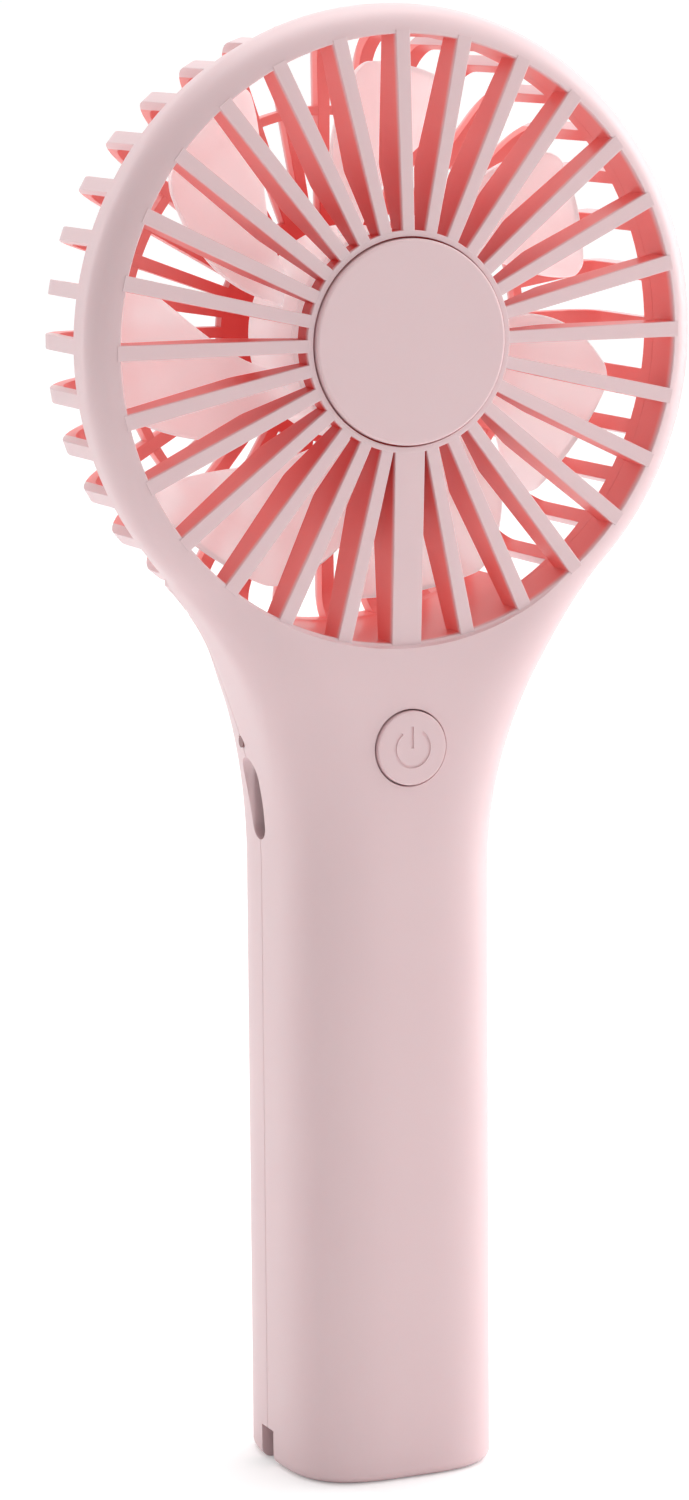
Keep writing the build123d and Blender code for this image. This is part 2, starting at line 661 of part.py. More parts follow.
# ---- battery ---------------------------------------------------------------------------------
cell_top = cell_bottom + cell_length
cell = Pos(0, 0, (cell_bottom + cell_top) / 2) * Cylinder(cell_radius, cell_length)
save(fillet(cell.edges().filter_by(GeomType.CIRCLE), cell_edge), "battery_cell", (0.25, 0.45, 0.62))
low_tab = block((2.5, 7.5), (-6.5, 3), (cell_bottom - tab_thickness, cell_bottom))
high_tab = block((-7.5, -2.5), (-5, 3), (cell_top, cell_top + tab_thickness))
save(Compound([low_tab, high_tab]), "battery_tabs", STEEL)
pad_end = handle_half_depth - wall - pad_gap
pads = [block((-pad_half_width, pad_half_width), sorted((side * (cell_radius + 0.05), side * pad_end)),
              (cradle_heights[1] + 6, cradle_heights[2] - 5)) for side in (-1, 1)]
save(Compound(pads), "battery_pads", (0.2, 0.2, 0.22))


# ---- leads: straight runs joined by arcs, ending face to face ---------------------------------
# The points below are the leads' routes, in the order that the current takes.
def lead(points):
    """A round wire along a route. Each arc is as large as the shorter of its two runs allows."""
    route = [Vector(*p) for p in points]
    radii = []
    for before, here, after in zip(route, route[1:], route[2:]):
        turn = math.radians((here - before).get_angle(after - here))
        shorter = min((here - before).length, (after - here).length)
        radii.append(0.45 * shorter / math.tan(turn / 2))
    path = FilletPolyline(*route, radius=radii)
    start = Plane(origin=route[0], z_dir=route[1] - route[0])
    wire = sweep(start * Circle(lead_radius), path=path)
    expected = math.pi * lead_radius**2 * path.length
    print("lead", round(path.length, 1), "mm, radii", [round(r, 1) for r in radii],
          "volume share", round(wire.volume / expected, 3))
    return wire


terminal_y = motor_front - terminal_length / 2 - 0.05
for name, side, colour in (("red", 1, (0.7, 0.1, 0.1)), ("black", -1, BLACK)):
    save(lead([(side * terminal_offset, terminal_y, head_height - 0.25),
               (side * terminal_offset, terminal_y, head_height - 6.5),
               (side * 0.7, terminal_y, head_height - 13.2),
               (side * 0.7, -12.4, head_height - 17.6),
               (side * 0.7, -12.4, 123.8),
               (side * 2.6, -7.5, 118.2),
               (side * 2.6, board_front, 118.2)]), f"motor_lead_{name}", colour)
save(lead([(-5, -2.5, cell_top + tab_thickness), (-5, -2.5, cell_top + 4.6),
           (-5, -6, cell_top + 9.2), (-5, -6, cell_top + 13.8),
           (-5, board_front, cell_top + 13.8)]), "battery_lead_red", (0.7, 0.1, 0.1))
save(lead([(5, -4.6, cell_bottom - tab_thickness), (5, -4.6, 6.6),
           (lead_corner, -lead_corner, 6.4), (lead_corner, -lead_corner, 14.0),
           (9.3, -9.5, 45.0), (9.4, -9.2, 78.0), (5, -6.6, 85.0), (5, -6.2, 89.3),
           (5, board_front, 89.3)]), "battery_lead_black", BLACK)

os.makedirs("parts", exist_ok=True)
for name, solid in nodes.items():
    export_step(solid, f"parts/{name}.step")
print(len(nodes), "nodes")
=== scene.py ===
# %% [markdown]
# # A handheld electric fan
# The fan is a pale pink casing moulded in two halves, a grille of 28 ribs in front of a translucent
# seven-bladed rotor, a guard of 36 fins behind it, and a handle that it stands on.
# The measured parts come in first, as a fixed frame. Everything modelled here rides on that frame.

# %% Load the frame
import math

import bmesh
import bpy
import numpy as np
from mathutils import Matrix, Vector


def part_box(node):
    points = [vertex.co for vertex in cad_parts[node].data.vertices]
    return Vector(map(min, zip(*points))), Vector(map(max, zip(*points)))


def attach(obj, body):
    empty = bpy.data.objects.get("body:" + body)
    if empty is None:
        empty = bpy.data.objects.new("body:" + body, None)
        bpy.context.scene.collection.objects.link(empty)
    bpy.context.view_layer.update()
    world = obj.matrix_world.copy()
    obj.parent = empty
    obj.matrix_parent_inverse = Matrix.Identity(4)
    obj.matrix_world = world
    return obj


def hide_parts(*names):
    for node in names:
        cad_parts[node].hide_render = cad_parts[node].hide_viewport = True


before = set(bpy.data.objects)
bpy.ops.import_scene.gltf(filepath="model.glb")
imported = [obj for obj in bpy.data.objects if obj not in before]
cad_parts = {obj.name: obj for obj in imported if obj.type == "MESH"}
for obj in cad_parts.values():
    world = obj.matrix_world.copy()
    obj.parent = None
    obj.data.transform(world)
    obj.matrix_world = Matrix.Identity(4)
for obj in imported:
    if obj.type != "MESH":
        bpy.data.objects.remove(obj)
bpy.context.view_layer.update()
MM = 0.001

# %% [markdown]
# ## Sizes
# Places are read from the boxes of the measured parts, so a change there moves the pieces here too.
# The other sizes are those of the mouldings, in millimetres: wall, roundings, ribs and fins.

# %% Sizes in millimetres
def box_mm(node):
    """Lowest and highest corner of a measured part, in millimetres."""
    low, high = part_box(node)
    return low / MM, high / MM


cap_low, cap_high = box_mm("centre_cap")
shell_low = box_mm("front_shell")[0]
button_low, button_high = box_mm("power_button")
hub_low, hub_high = box_mm("impeller_bush")
HEAD = (cap_low.z + cap_high.z) / 2          # height of the fan's axis
CAP_FRONT, CAP_BACK = cap_low.y, cap_high.y
CAP_RADIUS = cap_high.x
HUB_FRONT = shell_low.y                      # foremost point of the grille
RIM_RADIUS, RIM_ROUNDING, RIM_FRONT, RIM_TAPER = 49.65, 5.5, -15.4, 0.3
DUCT = 45.0                                  # radius of the air passage
HALF_WIDTH, HALF_DEPTH, SQUARENESS = 16.75, 16.6, 3.1
STRAIGHT, WALL, BASE_ROUNDING = 93.0, 2.0, 1.6
JOINT_HANDLE, JOINT_HEAD, RISE_START, RISE_END = 1.5, -8.4, 116.0, 146.0
RING_RADIUS, RING_BACK = 48.7, -5.5
NECK_RADIUS = (HALF_WIDTH**2 + (HEAD - STRAIGHT)**2 - RIM_RADIUS**2) / (2 * (RIM_RADIUS - HALF_WIDTH))
NECK_TURN = math.atan2(HEAD - STRAIGHT, HALF_WIDTH + NECK_RADIUS)
NECK_TOP = HEAD - RIM_RADIUS * math.sin(NECK_TURN)
BUTTON_FLANGE, BUTTON_GAP = 1.0, 0.2
BUTTON_RADIUS = button_high.x - BUTTON_FLANGE
BUTTON_FACE, BUTTON_Z = button_low.y, (button_low.z + button_high.z) / 2
GROOVE = 0.13                                # width of the line where the halves meet
print(f"axis at {HEAD:.1f}, neck arc {NECK_RADIUS:.1f} up to {NECK_TOP:.1f}, cap radius {CAP_RADIUS:.2f}")

# %% [markdown]
# ## Small tools for meshes
# A mesh is a list of points and a list of faces. Most mouldings are either turned, like the cap, or
# lofted, like a rib, so two helpers make nearly everything. Sharp edges on a moulding are never
# truly sharp: a radius of one or two tenths of a millimetre is what catches the light.

# %% Mesh helpers
def smooth(low, high, value):
    share = np.clip((value - low) / (high - low), 0, 1)
    return share * share * (3 - 2 * share)


def mixed(a, b, share):
    return a + (b - a) * share


def link(obj):
    bpy.context.scene.collection.objects.link(obj)


def mesh_piece(name, points, faces):
    """A closed mesh from points in millimetres, its doubles merged and its faces outwards."""
    mesh = bpy.data.meshes.new(name)
    mesh.from_pydata([tuple(float(c) * MM for c in p) for p in points], [], faces)
    work = bmesh.new()
    work.from_mesh(mesh)
    bmesh.ops.remove_doubles(work, verts=work.verts, dist=0.002 * MM)
    bmesh.ops.recalc_face_normals(work, faces=work.faces)
    work.to_mesh(mesh)
    work.free()
    obj = bpy.data.objects.new(name, mesh)
    link(obj)
    return obj


def bake(obj):
    """Turns an object's modifiers into a plain mesh and removes them."""
    bpy.context.view_layer.update()
    graph = bpy.context.evaluated_depsgraph_get()
    mesh = bpy.data.meshes.new_from_object(obj.evaluated_get(graph), preserve_all_data_layers=True,
                                           depsgraph=graph)
    obj.modifiers.clear()
    obj.data = mesh
    return obj


def join(name, objects):
    """One object out of several, with the meshes kept where they are."""
    work = bmesh.new()
    for obj in objects:
        work.from_mesh(obj.data)
    mesh = bpy.data.meshes.new(name)
    work.to_mesh(mesh)
    work.free()
    for obj in objects:
        bpy.data.objects.remove(obj)
    joined = bpy.data.objects.new(name, mesh)
    link(joined)
    return joined


def shade(obj, angle=35):
    """Smooth shading that keeps flat faces flat: edges sharper than the angle stay crisp."""
    obj.data.shade_smooth()
    obj.data.set_sharp_from_angle(angle=math.radians(angle))
    weighted = obj.modifiers.new("Even flats", "WEIGHTED_NORMAL")
    weighted.keep_sharp = True
    return bake(obj)


def eased(outline, radius, steps=4):
    """A closed outline of (a, b) points with every corner rounded to a radius."""
    points = [Vector(p) for p in outline]
    result = []
    for i, here in enumerate(points):
        to_before = points[i - 1] - here
        to_after = points[(i + 1) % len(points)] - here
        turn = to_before.angle(to_after)
        if turn > math.radians(175) or radius == 0:
            result.append(tuple(here))
            continue
        reach = min(radius / math.tan(turn / 2), to_before.length * 0.45, to_after.length * 0.45)
        start = here + to_before.normalized() * reach
        end = here + to_after.normalized() * reach
        for k in range(steps + 1):
            t = k / steps
            result.append(tuple(start * (1 - t) ** 2 + here * 2 * t * (1 - t) + end * t**2))
    return result


def turned(name, outline, axis=(0, 0), steps=180, arc=(0, 360)):
    """A closed outline of (radius, y) points turned about an axis along Y that passes (x, z)."""
    whole = arc[1] - arc[0] == 360
    turns = steps if whole else steps + 1
    points, faces = [], []
    for i in range(turns):
        angle = math.radians(mixed(arc[0], arc[1], i / steps))
        points += [(axis[0] + r * math.cos(angle), y, axis[1] + r * math.sin(angle)) for r, y in outline]
    count = len(outline)
    for i in range(steps):
        here, there = i * count, (i + 1) % turns * count
        for k in range(count):
            j = (k + 1) % count
            if outline[k][0] == 0 and outline[j][0] == 0:
                continue
            faces.append((here + k, here + j, there + j, there + k))
    if not whole:
        faces += [tuple(range(count)), tuple(range(steps * count, steps * count + count))]
    return mesh_piece(name, points, faces)


def sleeve(sections, count):
    """Faces between closed sections of equal length, one after the other."""
    faces = []
    for s in range(sections - 1):
        here, there = s * count, (s + 1) * count
        for k in range(count):
            j = (k + 1) % count
            faces.append((here + k, here + j, there + j, there + k))
    return faces


def lofted(name, sections):
    """Equal closed sections joined one after the other, with both ends closed."""
    count = len(sections[0])
    points = [p for section in sections for p in section]
    faces = sleeve(len(sections), count)
    last = (len(sections) - 1) * count
    faces += [tuple(range(count)), tuple(range(last, last + count))]
    return mesh_piece(name, points, faces)


def cut(obj, cutters, operation="DIFFERENCE"):
    """Cuts closed meshes out of a closed mesh."""
    for cutter in cutters:
        step = obj.modifiers.new("Cut", "BOOLEAN")
        step.operation = operation
        step.solver = "MANIFOLD"
        step.object = cutter
        bake(obj)
        bpy.data.objects.remove(cutter)
    return obj


print("mesh helpers ready")

# %% [markdown]
# ## The form of the casing
# The handle's section is a rounded square, a superellipse, and it changes without a break into the
# round head. It could be sculpted or made with subdivision, but a rule that says which points are
# inside gives the exact form: rays are sent out from a line inside the wall, and where each one
# leaves the form there is a point of the mesh. The grid of rays gives clean quads all the way.

# %% Which points are inside the casing
FRONT_EASE, BACK_EASE = 16, 18               # height over which the neck's depth eases into the head's
FRONT_POWER, BACK_POWER = 2.3, 2.0           # roundness of the section at the top of the neck
RAY_DEPTH, RAY_INSET_HANDLE, RAY_INSET_HEAD = -9.0, 15.2, 8.0
RAY_LENGTH, STEEPEST = 70.0, 1.45
LEAVE_STEPS, SEAM_STEPS, HOLLOW_STEPS = 32, 30, 28
OUTSIDE_STEPS, FACE_STEPS, JOINT_STEPS = 30, 15, 9


def joint_y(z):
    """Depth of the joint between the two halves at a height."""
    return mixed(JOINT_HANDLE, JOINT_HEAD, smooth(RISE_START, RISE_END, z))


def in_neck(p, inset):
    """Handle and neck, made smaller by an inset."""
    x, y, z = p[..., 0], p[..., 1], p[..., 2]
    share = smooth(STRAIGHT, NECK_TOP, z)
    rise = np.clip(z - STRAIGHT, 0, NECK_RADIUS * 0.99)
    half = HALF_WIDTH + NECK_RADIUS - np.sqrt(NECK_RADIUS**2 - rise**2) - inset
    front = mixed(HALF_DEPTH, -RIM_FRONT, smooth(NECK_TOP - FRONT_EASE, NECK_TOP, z)) - inset
    back = mixed(HALF_DEPTH, RING_BACK + 3, smooth(NECK_TOP - BACK_EASE, NECK_TOP, z)) - inset
    flank = mixed(0, RING_BACK, share)
    wide = mixed(half - 1, RIM_ROUNDING / math.cos(NECK_TURN) + 2, share)
    deep = mixed(front - 1, RIM_ROUNDING + 1, share)
    a = np.clip(np.abs(x) - (half - wide), 0, None) / wide
    b = np.clip(-y - (front - deep), 0, None) / deep
    c = np.clip(y - flank, 0, None) / (back - flank)
    power = mixed(SQUARENESS, FRONT_POWER, share)
    in_front = a**power + b**power
    power = mixed(SQUARENESS, BACK_POWER, share)
    behind = (np.abs(x) / half) ** power + c**power
    return (np.where(y > flank, behind, in_front) <= 1) & (z <= NECK_TOP)


def in_rim(p):
    """The round head in front of the joint, with its edge rounded."""
    radius = np.hypot(p[..., 0], p[..., 2] - HEAD)
    y = p[..., 1]
    flank = RIM_RADIUS - RIM_TAPER * (y - RIM_FRONT) / (JOINT_HEAD - RIM_FRONT)
    over = np.clip(RIM_FRONT + RIM_ROUNDING - y, 0, RIM_ROUNDING)
    edge = flank - RIM_ROUNDING + np.sqrt(RIM_ROUNDING**2 - over**2)
    return (radius <= edge) & (y >= RIM_FRONT) & (y <= RING_BACK)


def in_ring(p):
    """The narrower band behind the joint."""
    radius = np.hypot(p[..., 0], p[..., 2] - HEAD)
    return (radius <= RING_RADIUS) & (p[..., 1] <= RING_BACK) & (p[..., 1] >= RIM_FRONT)


def leave(start, direction, head, inset):
    """Where rays leave the form made of the neck and a round head."""
    near, far = np.zeros(start.shape[:-1]), np.full(start.shape[:-1], RAY_LENGTH)
    for _ in range(LEAVE_STEPS):
        middle = (near + far) / 2
        p = start + direction * middle[..., None]
        inside = in_neck(p, inset) | head(p)
        near, far = np.where(inside, middle, near), np.where(inside, far, middle)
    return start + direction * near[..., None]


print("the joint lies at", [round(float(joint_y(z)), 2) for z in (60, 125, 131, 140, 174)])

# %% The two half forms, as grids
def walk():
    """The right-hand outline from the base to the top: point, outward direction and inset."""
    rows = []
    for i in range(9):
        turn = math.pi / 2 * i / 8
        rows.append((HALF_WIDTH, BASE_ROUNDING * (1 - math.cos(turn)), 0.0,
                     BASE_ROUNDING * (1 - math.sin(turn))))
    rows += [(HALF_WIDTH, z, 0.0, 0.0) for z in np.linspace(BASE_ROUNDING, STRAIGHT, 26)[1:]]
    for turn in np.linspace(0, NECK_TURN, 44)[1:]:
        rows.append((HALF_WIDTH + NECK_RADIUS * (1 - math.cos(turn)), STRAIGHT + NECK_RADIUS * math.sin(turn),
                     -turn, 0.0))
    for turn in np.linspace(-NECK_TURN, math.pi / 2, 110)[1:]:
        rows.append((RIM_RADIUS * math.cos(turn), HEAD + RIM_RADIUS * math.sin(turn), turn, 0.0))
    return np.array(rows)


def half_form(name, front):
    """One half of the casing as a solid: its outside, and the joint as a face across it."""
    rows = walk()
    out = np.stack([np.cos(rows[:, 2]), np.zeros(len(rows)), np.sin(rows[:, 2])], -1)
    share = smooth(STRAIGHT, NECK_TOP, rows[:, 1])
    inset = rows[:, 3][:, None]
    centre = np.stack([rows[:, 0], mixed(0.0, RAY_DEPTH, share), rows[:, 1]], -1)
    centre = centre - out * mixed(RAY_INSET_HANDLE, RAY_INSET_HEAD, share)[:, None]
    reach = centre[:, 0] / np.maximum(out[:, 0], 0.05)
    end = centre - out * reach[:, None]
    pole = end[np.argmax(rows[:, 1] >= NECK_TOP)]
    on_head = rows[:, 1] > NECK_TOP
    end[on_head] = pole
    end[:, 0] = 0.0
    head = in_rim if front else in_ring
    low, high = np.full(len(rows), -STEEPEST), np.full(len(rows), STEEPEST)
    for _ in range(SEAM_STEPS):
        middle = (low + high) / 2
        ray = out * np.cos(middle)[:, None] + np.array([0, -1, 0]) * np.sin(middle)[:, None]
        p = leave(centre[:, None], ray[:, None], head, inset)[:, 0]
        behind = p[:, 1] > joint_y(p[:, 2])
        low, high = np.where(behind, middle, low), np.where(behind, high, middle)
    seam = (low + high) / 2
    away = -1 if front else 1
    span = (math.pi / 2 * (-away) - seam)[:, None]
    turns = np.linspace(0, 1, OUTSIDE_STEPS)[None, :] * span + seam[:, None]
    ray = out[:, None] * np.cos(turns)[..., None] + np.array([0, -1, 0]) * np.sin(turns)[..., None]
    outside = leave(np.repeat(centre[:, None], OUTSIDE_STEPS, 1), ray, head, inset)
    shares = np.linspace(0, 1, FACE_STEPS)[None, 1:, None]
    inner = centre[:, None] * (1 - shares) + end[:, None] * shares
    straight = np.broadcast_to(np.array([0.0, away, 0.0]), inner.shape)
    face = leave(inner, straight, head, inset)
    groove = outside[:, :1].copy()
    groove -= out[:, None] * GROOVE
    groove[..., 1] = joint_y(groove[..., 2]) + away * GROOVE / 4
    outside[:, 0, 1] += away * GROOVE
    shares = np.linspace(0, 1, JOINT_STEPS)[None, 1:, None]
    across = groove * (1 - shares) + end[:, None] * shares
    across[..., 1] = joint_y(across[..., 2]) + away * GROOVE / 4
    half = np.concatenate([across[:, ::-1], groove, outside, face], 1)
    half[:, [0, -1], 0] = 0.0
    other = half * np.array([-1, 1, 1])
    ring = np.concatenate([half, other[:, -2:0:-1]], 1)
    steps, count = ring.shape[:2]
    faces = sleeve(steps, count)
    faces.append(tuple(range(count)))
    obj = mesh_piece(name, ring.reshape(-1, 3), faces)
    open_edges = sum(1 for e in edge_uses(obj.data).values() if e != 2)
    print(name, len(obj.data.vertices), "points,", open_edges, "open edges")
    return obj


def edge_uses(mesh):
    """How many faces share each edge: two everywhere on a closed mesh."""
    uses = {}
    for polygon in mesh.polygons:
        for key in polygon.edge_keys:
            uses[key] = uses.get(key, 0) + 1
    return uses


front_casing = half_form("front_casing", True)
rear_casing = half_form("rear_casing", False)

# %% [markdown]
# ## Cutting the casing
# The solid halves are hollowed and pierced with booleans, as a moulding tool's cores would do it:
# the air passage, the hollow handle, the charging slot, the strap recess, the button's hole and the
# screws' wells. The cutters of the air passage, the slot and the button's hole open out a little at the
# surface, which leaves a fine chamfer there.

# %% Cutters for both halves
SLOT_Z, SLOT_TALL, SLOT_WIDE, SLOT_DEPTH = 103.9, 11.8, 4.5, 2.4
STRAP_WIDE, STRAP_TALL, STRAP_DEEP = 4.5, 5.4, 7.6
LIGHT_Z, LIGHT_RADIUS = 113.2, 1.0
SCREWS = ((0, 5.8), (0, 80.8), (-14.2, 121.6), (14.2, 121.6))
SCREW_SEAT, SCREW_END, SCREW_HEAD, SCREW_TALL = 6.0, -5.0, 1.9, 1.4
SCREW_WELL, SCREW_SHANK = 2.0, 1.1
POST_FRONT, POST_REAR = 2.4, 3.0             # radius of the screw posts in each half


def cavity(post):
    """The hollow of handle and neck, below the wall round the air passage and around the screw posts."""
    sections = []
    for z in np.concatenate([np.linspace(WALL, STRAIGHT, 5), np.linspace(STRAIGHT, NECK_TOP, 16)[1:]]):
        turns = np.linspace(0, 2 * math.pi, 97)[:-1]
        ray = np.stack([np.cos(turns), np.sin(turns), 0 * turns], -1)
        depth = mixed(0.0, RAY_DEPTH, float(smooth(STRAIGHT, NECK_TOP, z)))
        start = np.broadcast_to(np.array([0.0, depth, z]), ray.shape)
        near, far = np.zeros(len(ray)), np.full(len(ray), RAY_LENGTH)
        for _ in range(HOLLOW_STEPS):
            middle = (near + far) / 2
            inside = in_neck(start + ray * middle[:, None], WALL)
            near, far = np.where(inside, middle, near), np.where(inside, far, middle)
        sections.append([tuple(p) for p in start + ray * near[:, None]])
    hollow = lofted("hollow", sections)
    passage = turned("passage", [(0, -60), (DUCT + WALL, -60), (DUCT + WALL, 60), (0, 60)], (0, HEAD))
    posts = [turned("post", [(0, -60), (post, -60), (post, 60), (0, 60)], place, 32) for place in SCREWS]
    return cut(hollow, [passage] + posts)


def passage_cutter():
    """The air passage, a little wider at its mouth."""
    lip = RIM_FRONT + 0.066
    outline = [(0, -40), (DUCT + 8, -40), (DUCT + 0.5, lip - 0.28), (DUCT + 0.28, lip - 0.02),
               (DUCT + 0.08, lip + 0.12), (DUCT, lip + 0.34), (DUCT, 60), (0, 60)]
    return turned("air passage", outline, (0, HEAD))


def capsule(half_wide, half_tall, x, steps=10):
    """A slot's outline at a depth x in the left flank."""
    points = []
    for side in (1, -1):
        for i in range(steps + 1):
            turn = math.pi * i / steps
            points.append((x, JOINT_HANDLE + side * half_wide * math.cos(turn),
                           SLOT_Z + side * (half_tall - half_wide + half_wide * math.sin(turn))))
    return points


def slot_cutter():
    grow = ((-40, 8), (-HALF_WIDTH - 0.75, 0.5), (-HALF_WIDTH - 0.4, 0.2), (-HALF_WIDTH - 0.1, 0.05),
            (-HALF_WIDTH + 0.2, 0), (-HALF_WIDTH + SLOT_DEPTH, 0))
    return lofted("charging slot", [capsule(SLOT_WIDE / 2 + g, SLOT_TALL / 2 + g, x) for x, g in grow])


def block(name, x, y, z):
    points = [(a, b, c) for a in x for b in y for c in z]
    faces = [(0, 1, 3, 2), (4, 6, 7, 5), (0, 4, 5, 1), (2, 3, 7, 6), (0, 2, 6, 4), (1, 5, 7, 3)]
    return mesh_piece(name, points, faces)


def strap_cutter():
    half = STRAP_WIDE / 2
    return block("strap recess", (-40, STRAP_DEEP - HALF_WIDTH), (JOINT_HANDLE - half, JOINT_HANDLE + half),
                 (-5, STRAP_TALL))


def light_cutter():
    turns = np.linspace(0, 2 * math.pi, 25)[:-1]
    ring = [(LIGHT_RADIUS * math.cos(t), LIGHT_RADIUS * math.sin(t)) for t in turns]
    return lofted("light hole", [[(x, JOINT_HANDLE + a, LIGHT_Z + b) for a, b in ring] for x in (-40, -12)])


def button_cutter():
    radius, face = BUTTON_RADIUS + BUTTON_GAP, -HALF_DEPTH
    outline = [(0, -30), (radius + 6, -30), (radius + 0.25, face - 0.12), (radius + 0.1, face),
               (radius, face + 0.2), (radius, -10), (0, -10)]
    return turned("button hole", outline, (0, BUTTON_Z), 96)


def screw_hole(place, back, mouth):
    """A screw's hole, and behind its seat the well that the screwdriver goes down."""
    return turned("screw hole", [(0, SCREW_END), (SCREW_SHANK, SCREW_END), (SCREW_SHANK, back - 0.01),
                                 (mouth, back), (mouth, 40), (0, 40)], place, 40)


cut(front_casing, [cavity(POST_FRONT), passage_cutter(), slot_cutter(), strap_cutter(),
                   light_cutter(), button_cutter()])
cut(front_casing, [screw_hole(place, 39, SCREW_SHANK) for place in SCREWS])
print("front casing:", len(front_casing.data.polygons), "faces")

# %% [markdown]
# ## Gaps beside the neck
# Behind the joint the head is open all round, apart from the sector above the handle. At its two
# ends a gap between fins runs on into the flare of the neck, so the rear half is cut there as well.

# %% The rear half
FINS, FIN_RADIUS, FIN_DEPTH, GUARD_BACK, GUARD_CORNER = 36, 46.8, 2.75, 16.0, 6.5
FIN_WIDE, FIN_NARROW, REAR_HUB, MIDDLE_RING, MIDDLE_WIDE = 2.3, 1.6, 17.0, 33.7, 1.4
GAP_ANGLE, GAP_REACH, SOLID_ANGLE, SOLID_REACH = 35.0, 50.5, 31.7, 44.6
GAP_FRONT = RING_BACK - 0.03
INNER_CORNER = GUARD_CORNER - 2


def flare_gap(side):
    """The wedge between two fins that goes on into the flare."""
    turn = math.radians(-90 + side * GAP_ANGLE)
    along, across = (math.cos(turn), math.sin(turn)), (-math.sin(turn), math.cos(turn))
    pitch = 2 * math.tan(math.pi / FINS)
    sections = []
    for radius in (DUCT - 6, GAP_REACH):
        wide = mixed(FIN_NARROW, FIN_WIDE, (radius - REAR_HUB) / (FIN_RADIUS - REAR_HUB))
        half = (pitch * radius - wide) / 2
        sections.append([(along[0] * radius + across[0] * t, y, HEAD + along[1] * radius + across[1] * t)
                         for t, y in ((-half, GAP_FRONT), (half, GAP_FRONT), (half, 41), (-half, 41))])
    return lofted("flare gap", sections)


cut(rear_casing, [cavity(POST_REAR), passage_cutter(), slot_cutter(), strap_cutter(),
                  light_cutter(), flare_gap(-1), flare_gap(1)])
cut(rear_casing, [screw_hole(place, SCREW_SEAT, SCREW_WELL) for place in SCREWS])
print("rear casing:", len(rear_casing.data.polygons), "faces")
for half in (front_casing, rear_casing):
    shade(half, 28)

# %% [markdown]
# ## The ribs of the grille
# A moulded rib is a tapering bar: 1.9 mm wide at the hub and 2.3 mm at the rim, deepest a third of
# the way out, because that is where a finger would bend it. One rib is lofted from rounded sections.
# Geometry Nodes then set the copies around the axis, as a designer's circular pattern does, so the
# number of ribs or the first angle can be changed without touching the mesh.

# %% A node tree that repeats a piece around the head's axis
def add(tree, kind, inputs=None, **settings):
    """Adds a node, sets its properties, and links or sets its inputs."""
    node = tree.nodes.new(kind)
    for name, value in settings.items():
        setattr(node, name, value)
    for key, value in (inputs or {}).items():
        if isinstance(value, bpy.types.NodeSocket):
            tree.links.new(value, node.inputs[key])
        else:
            node.inputs[key].default_value = value
    return node


def new_group(name, inputs):
    """A geometry node tree with named inputs: the tree and the sockets that give their values."""
    tree = bpy.data.node_groups.new(name, "GeometryNodeTree")
    tree.interface.new_socket(name="Geometry", in_out="OUTPUT", socket_type="NodeSocketGeometry")
    for label, kind in inputs:
        tree.interface.new_socket(name=label, in_out="INPUT", socket_type="NodeSocket" + kind)
    return tree, add(tree, "NodeGroupInput").outputs


def close_group(tree, copies, finish):
    """Makes the copies real, gives them their finish and sends them out of the tree."""
    real = add(tree, "GeometryNodeRealizeInstances", {0: copies}).outputs[0]
    named = add(tree, "GeometryNodeSetMaterial", {"Geometry": real, "Material": finish}).outputs[0]
    add(tree, "NodeGroupOutput", {"Geometry": named})
    return tree


def run_group(obj, label, tree, values):
    """Runs a node tree on an object with the values given, and bakes what comes out."""
    step = obj.modifiers.new(label, "NODES")
    step.node_group = tree
    for item in tree.interface.items_tree:
        if item.item_type == "SOCKET" and item.in_out == "INPUT" and item.name in values:
            step[item.identifier] = values[item.name]
    return bake(obj)


def circular_pattern():
    tree, given = new_group("Circular pattern", (
        ("Geometry", "Geometry"), ("Copies", "Int"), ("First angle", "Float"), ("Step angle", "Float"),
        ("Axis height", "Float"), ("Finish", "Material")))
    axis = add(tree, "ShaderNodeCombineXYZ", {"Z": given["Axis height"]}).outputs[0]
    back = add(tree, "ShaderNodeVectorMath", {0: axis, "Scale": -1.0}, operation="SCALE").outputs[0]
    moved = add(tree, "GeometryNodeTransform",
                {"Geometry": given["Geometry"], "Translation": back}).outputs[0]
    points = add(tree, "GeometryNodeMeshLine", {"Count": given["Copies"], "Offset": (0, 0, 0)}).outputs[0]
    index = add(tree, "GeometryNodeInputIndex").outputs[0]
    turn = add(tree, "ShaderNodeMath", {0: index, 1: given["Step angle"], 2: given["First angle"]},
               operation="MULTIPLY_ADD").outputs[0]
    minus = add(tree, "ShaderNodeMath", {0: turn, 1: -1.0}, operation="MULTIPLY").outputs[0]
    rotation = add(tree, "ShaderNodeCombineXYZ", {"Y": minus}).outputs[0]
    placed = add(tree, "GeometryNodeSetPosition", {"Geometry": points, "Position": axis}).outputs[0]
    copies = add(tree, "GeometryNodeInstanceOnPoints",
                 {"Points": placed, "Instance": moved, "Rotation": rotation}).outputs[0]
    return close_group(tree, copies, given["Finish"])


def repeated(obj, copies, first, step, finish):
    """Copies of a piece made at three o'clock, the first one turned by an angle in degrees."""
    return run_group(obj, "Pattern", PATTERN, {
        "Copies": copies, "First angle": math.radians(first), "Step angle": math.radians(step),
        "Axis height": HEAD * MM, "Finish": finish})


PATTERN = circular_pattern()
print("pattern inputs:", [item.name for item in PATTERN.interface.items_tree if item.in_out == "INPUT"])

# %% Ribs
RIBS, RIB_HUB, RIB_RIM, WIDE_RIB, RIB_EDGE = 28, 1.9, 2.3, 4.8, 0.16
HUB_RADIUS, HUB_BACK, HUB_DOME = 16.45, -13.3, 1.7
RIB_DEEP_RIM, RIB_DEEP_HUB, RIB_DEEP_KNEE, KNEE = 5.2, 3.8, 7.9, 25.7


def bar(half, front, back, edge, steps=3):
    """Points (across, y) of a rectangular section with rounded edges."""
    return eased([(-half, front), (half, front), (half, back), (-half, back)], edge, steps)


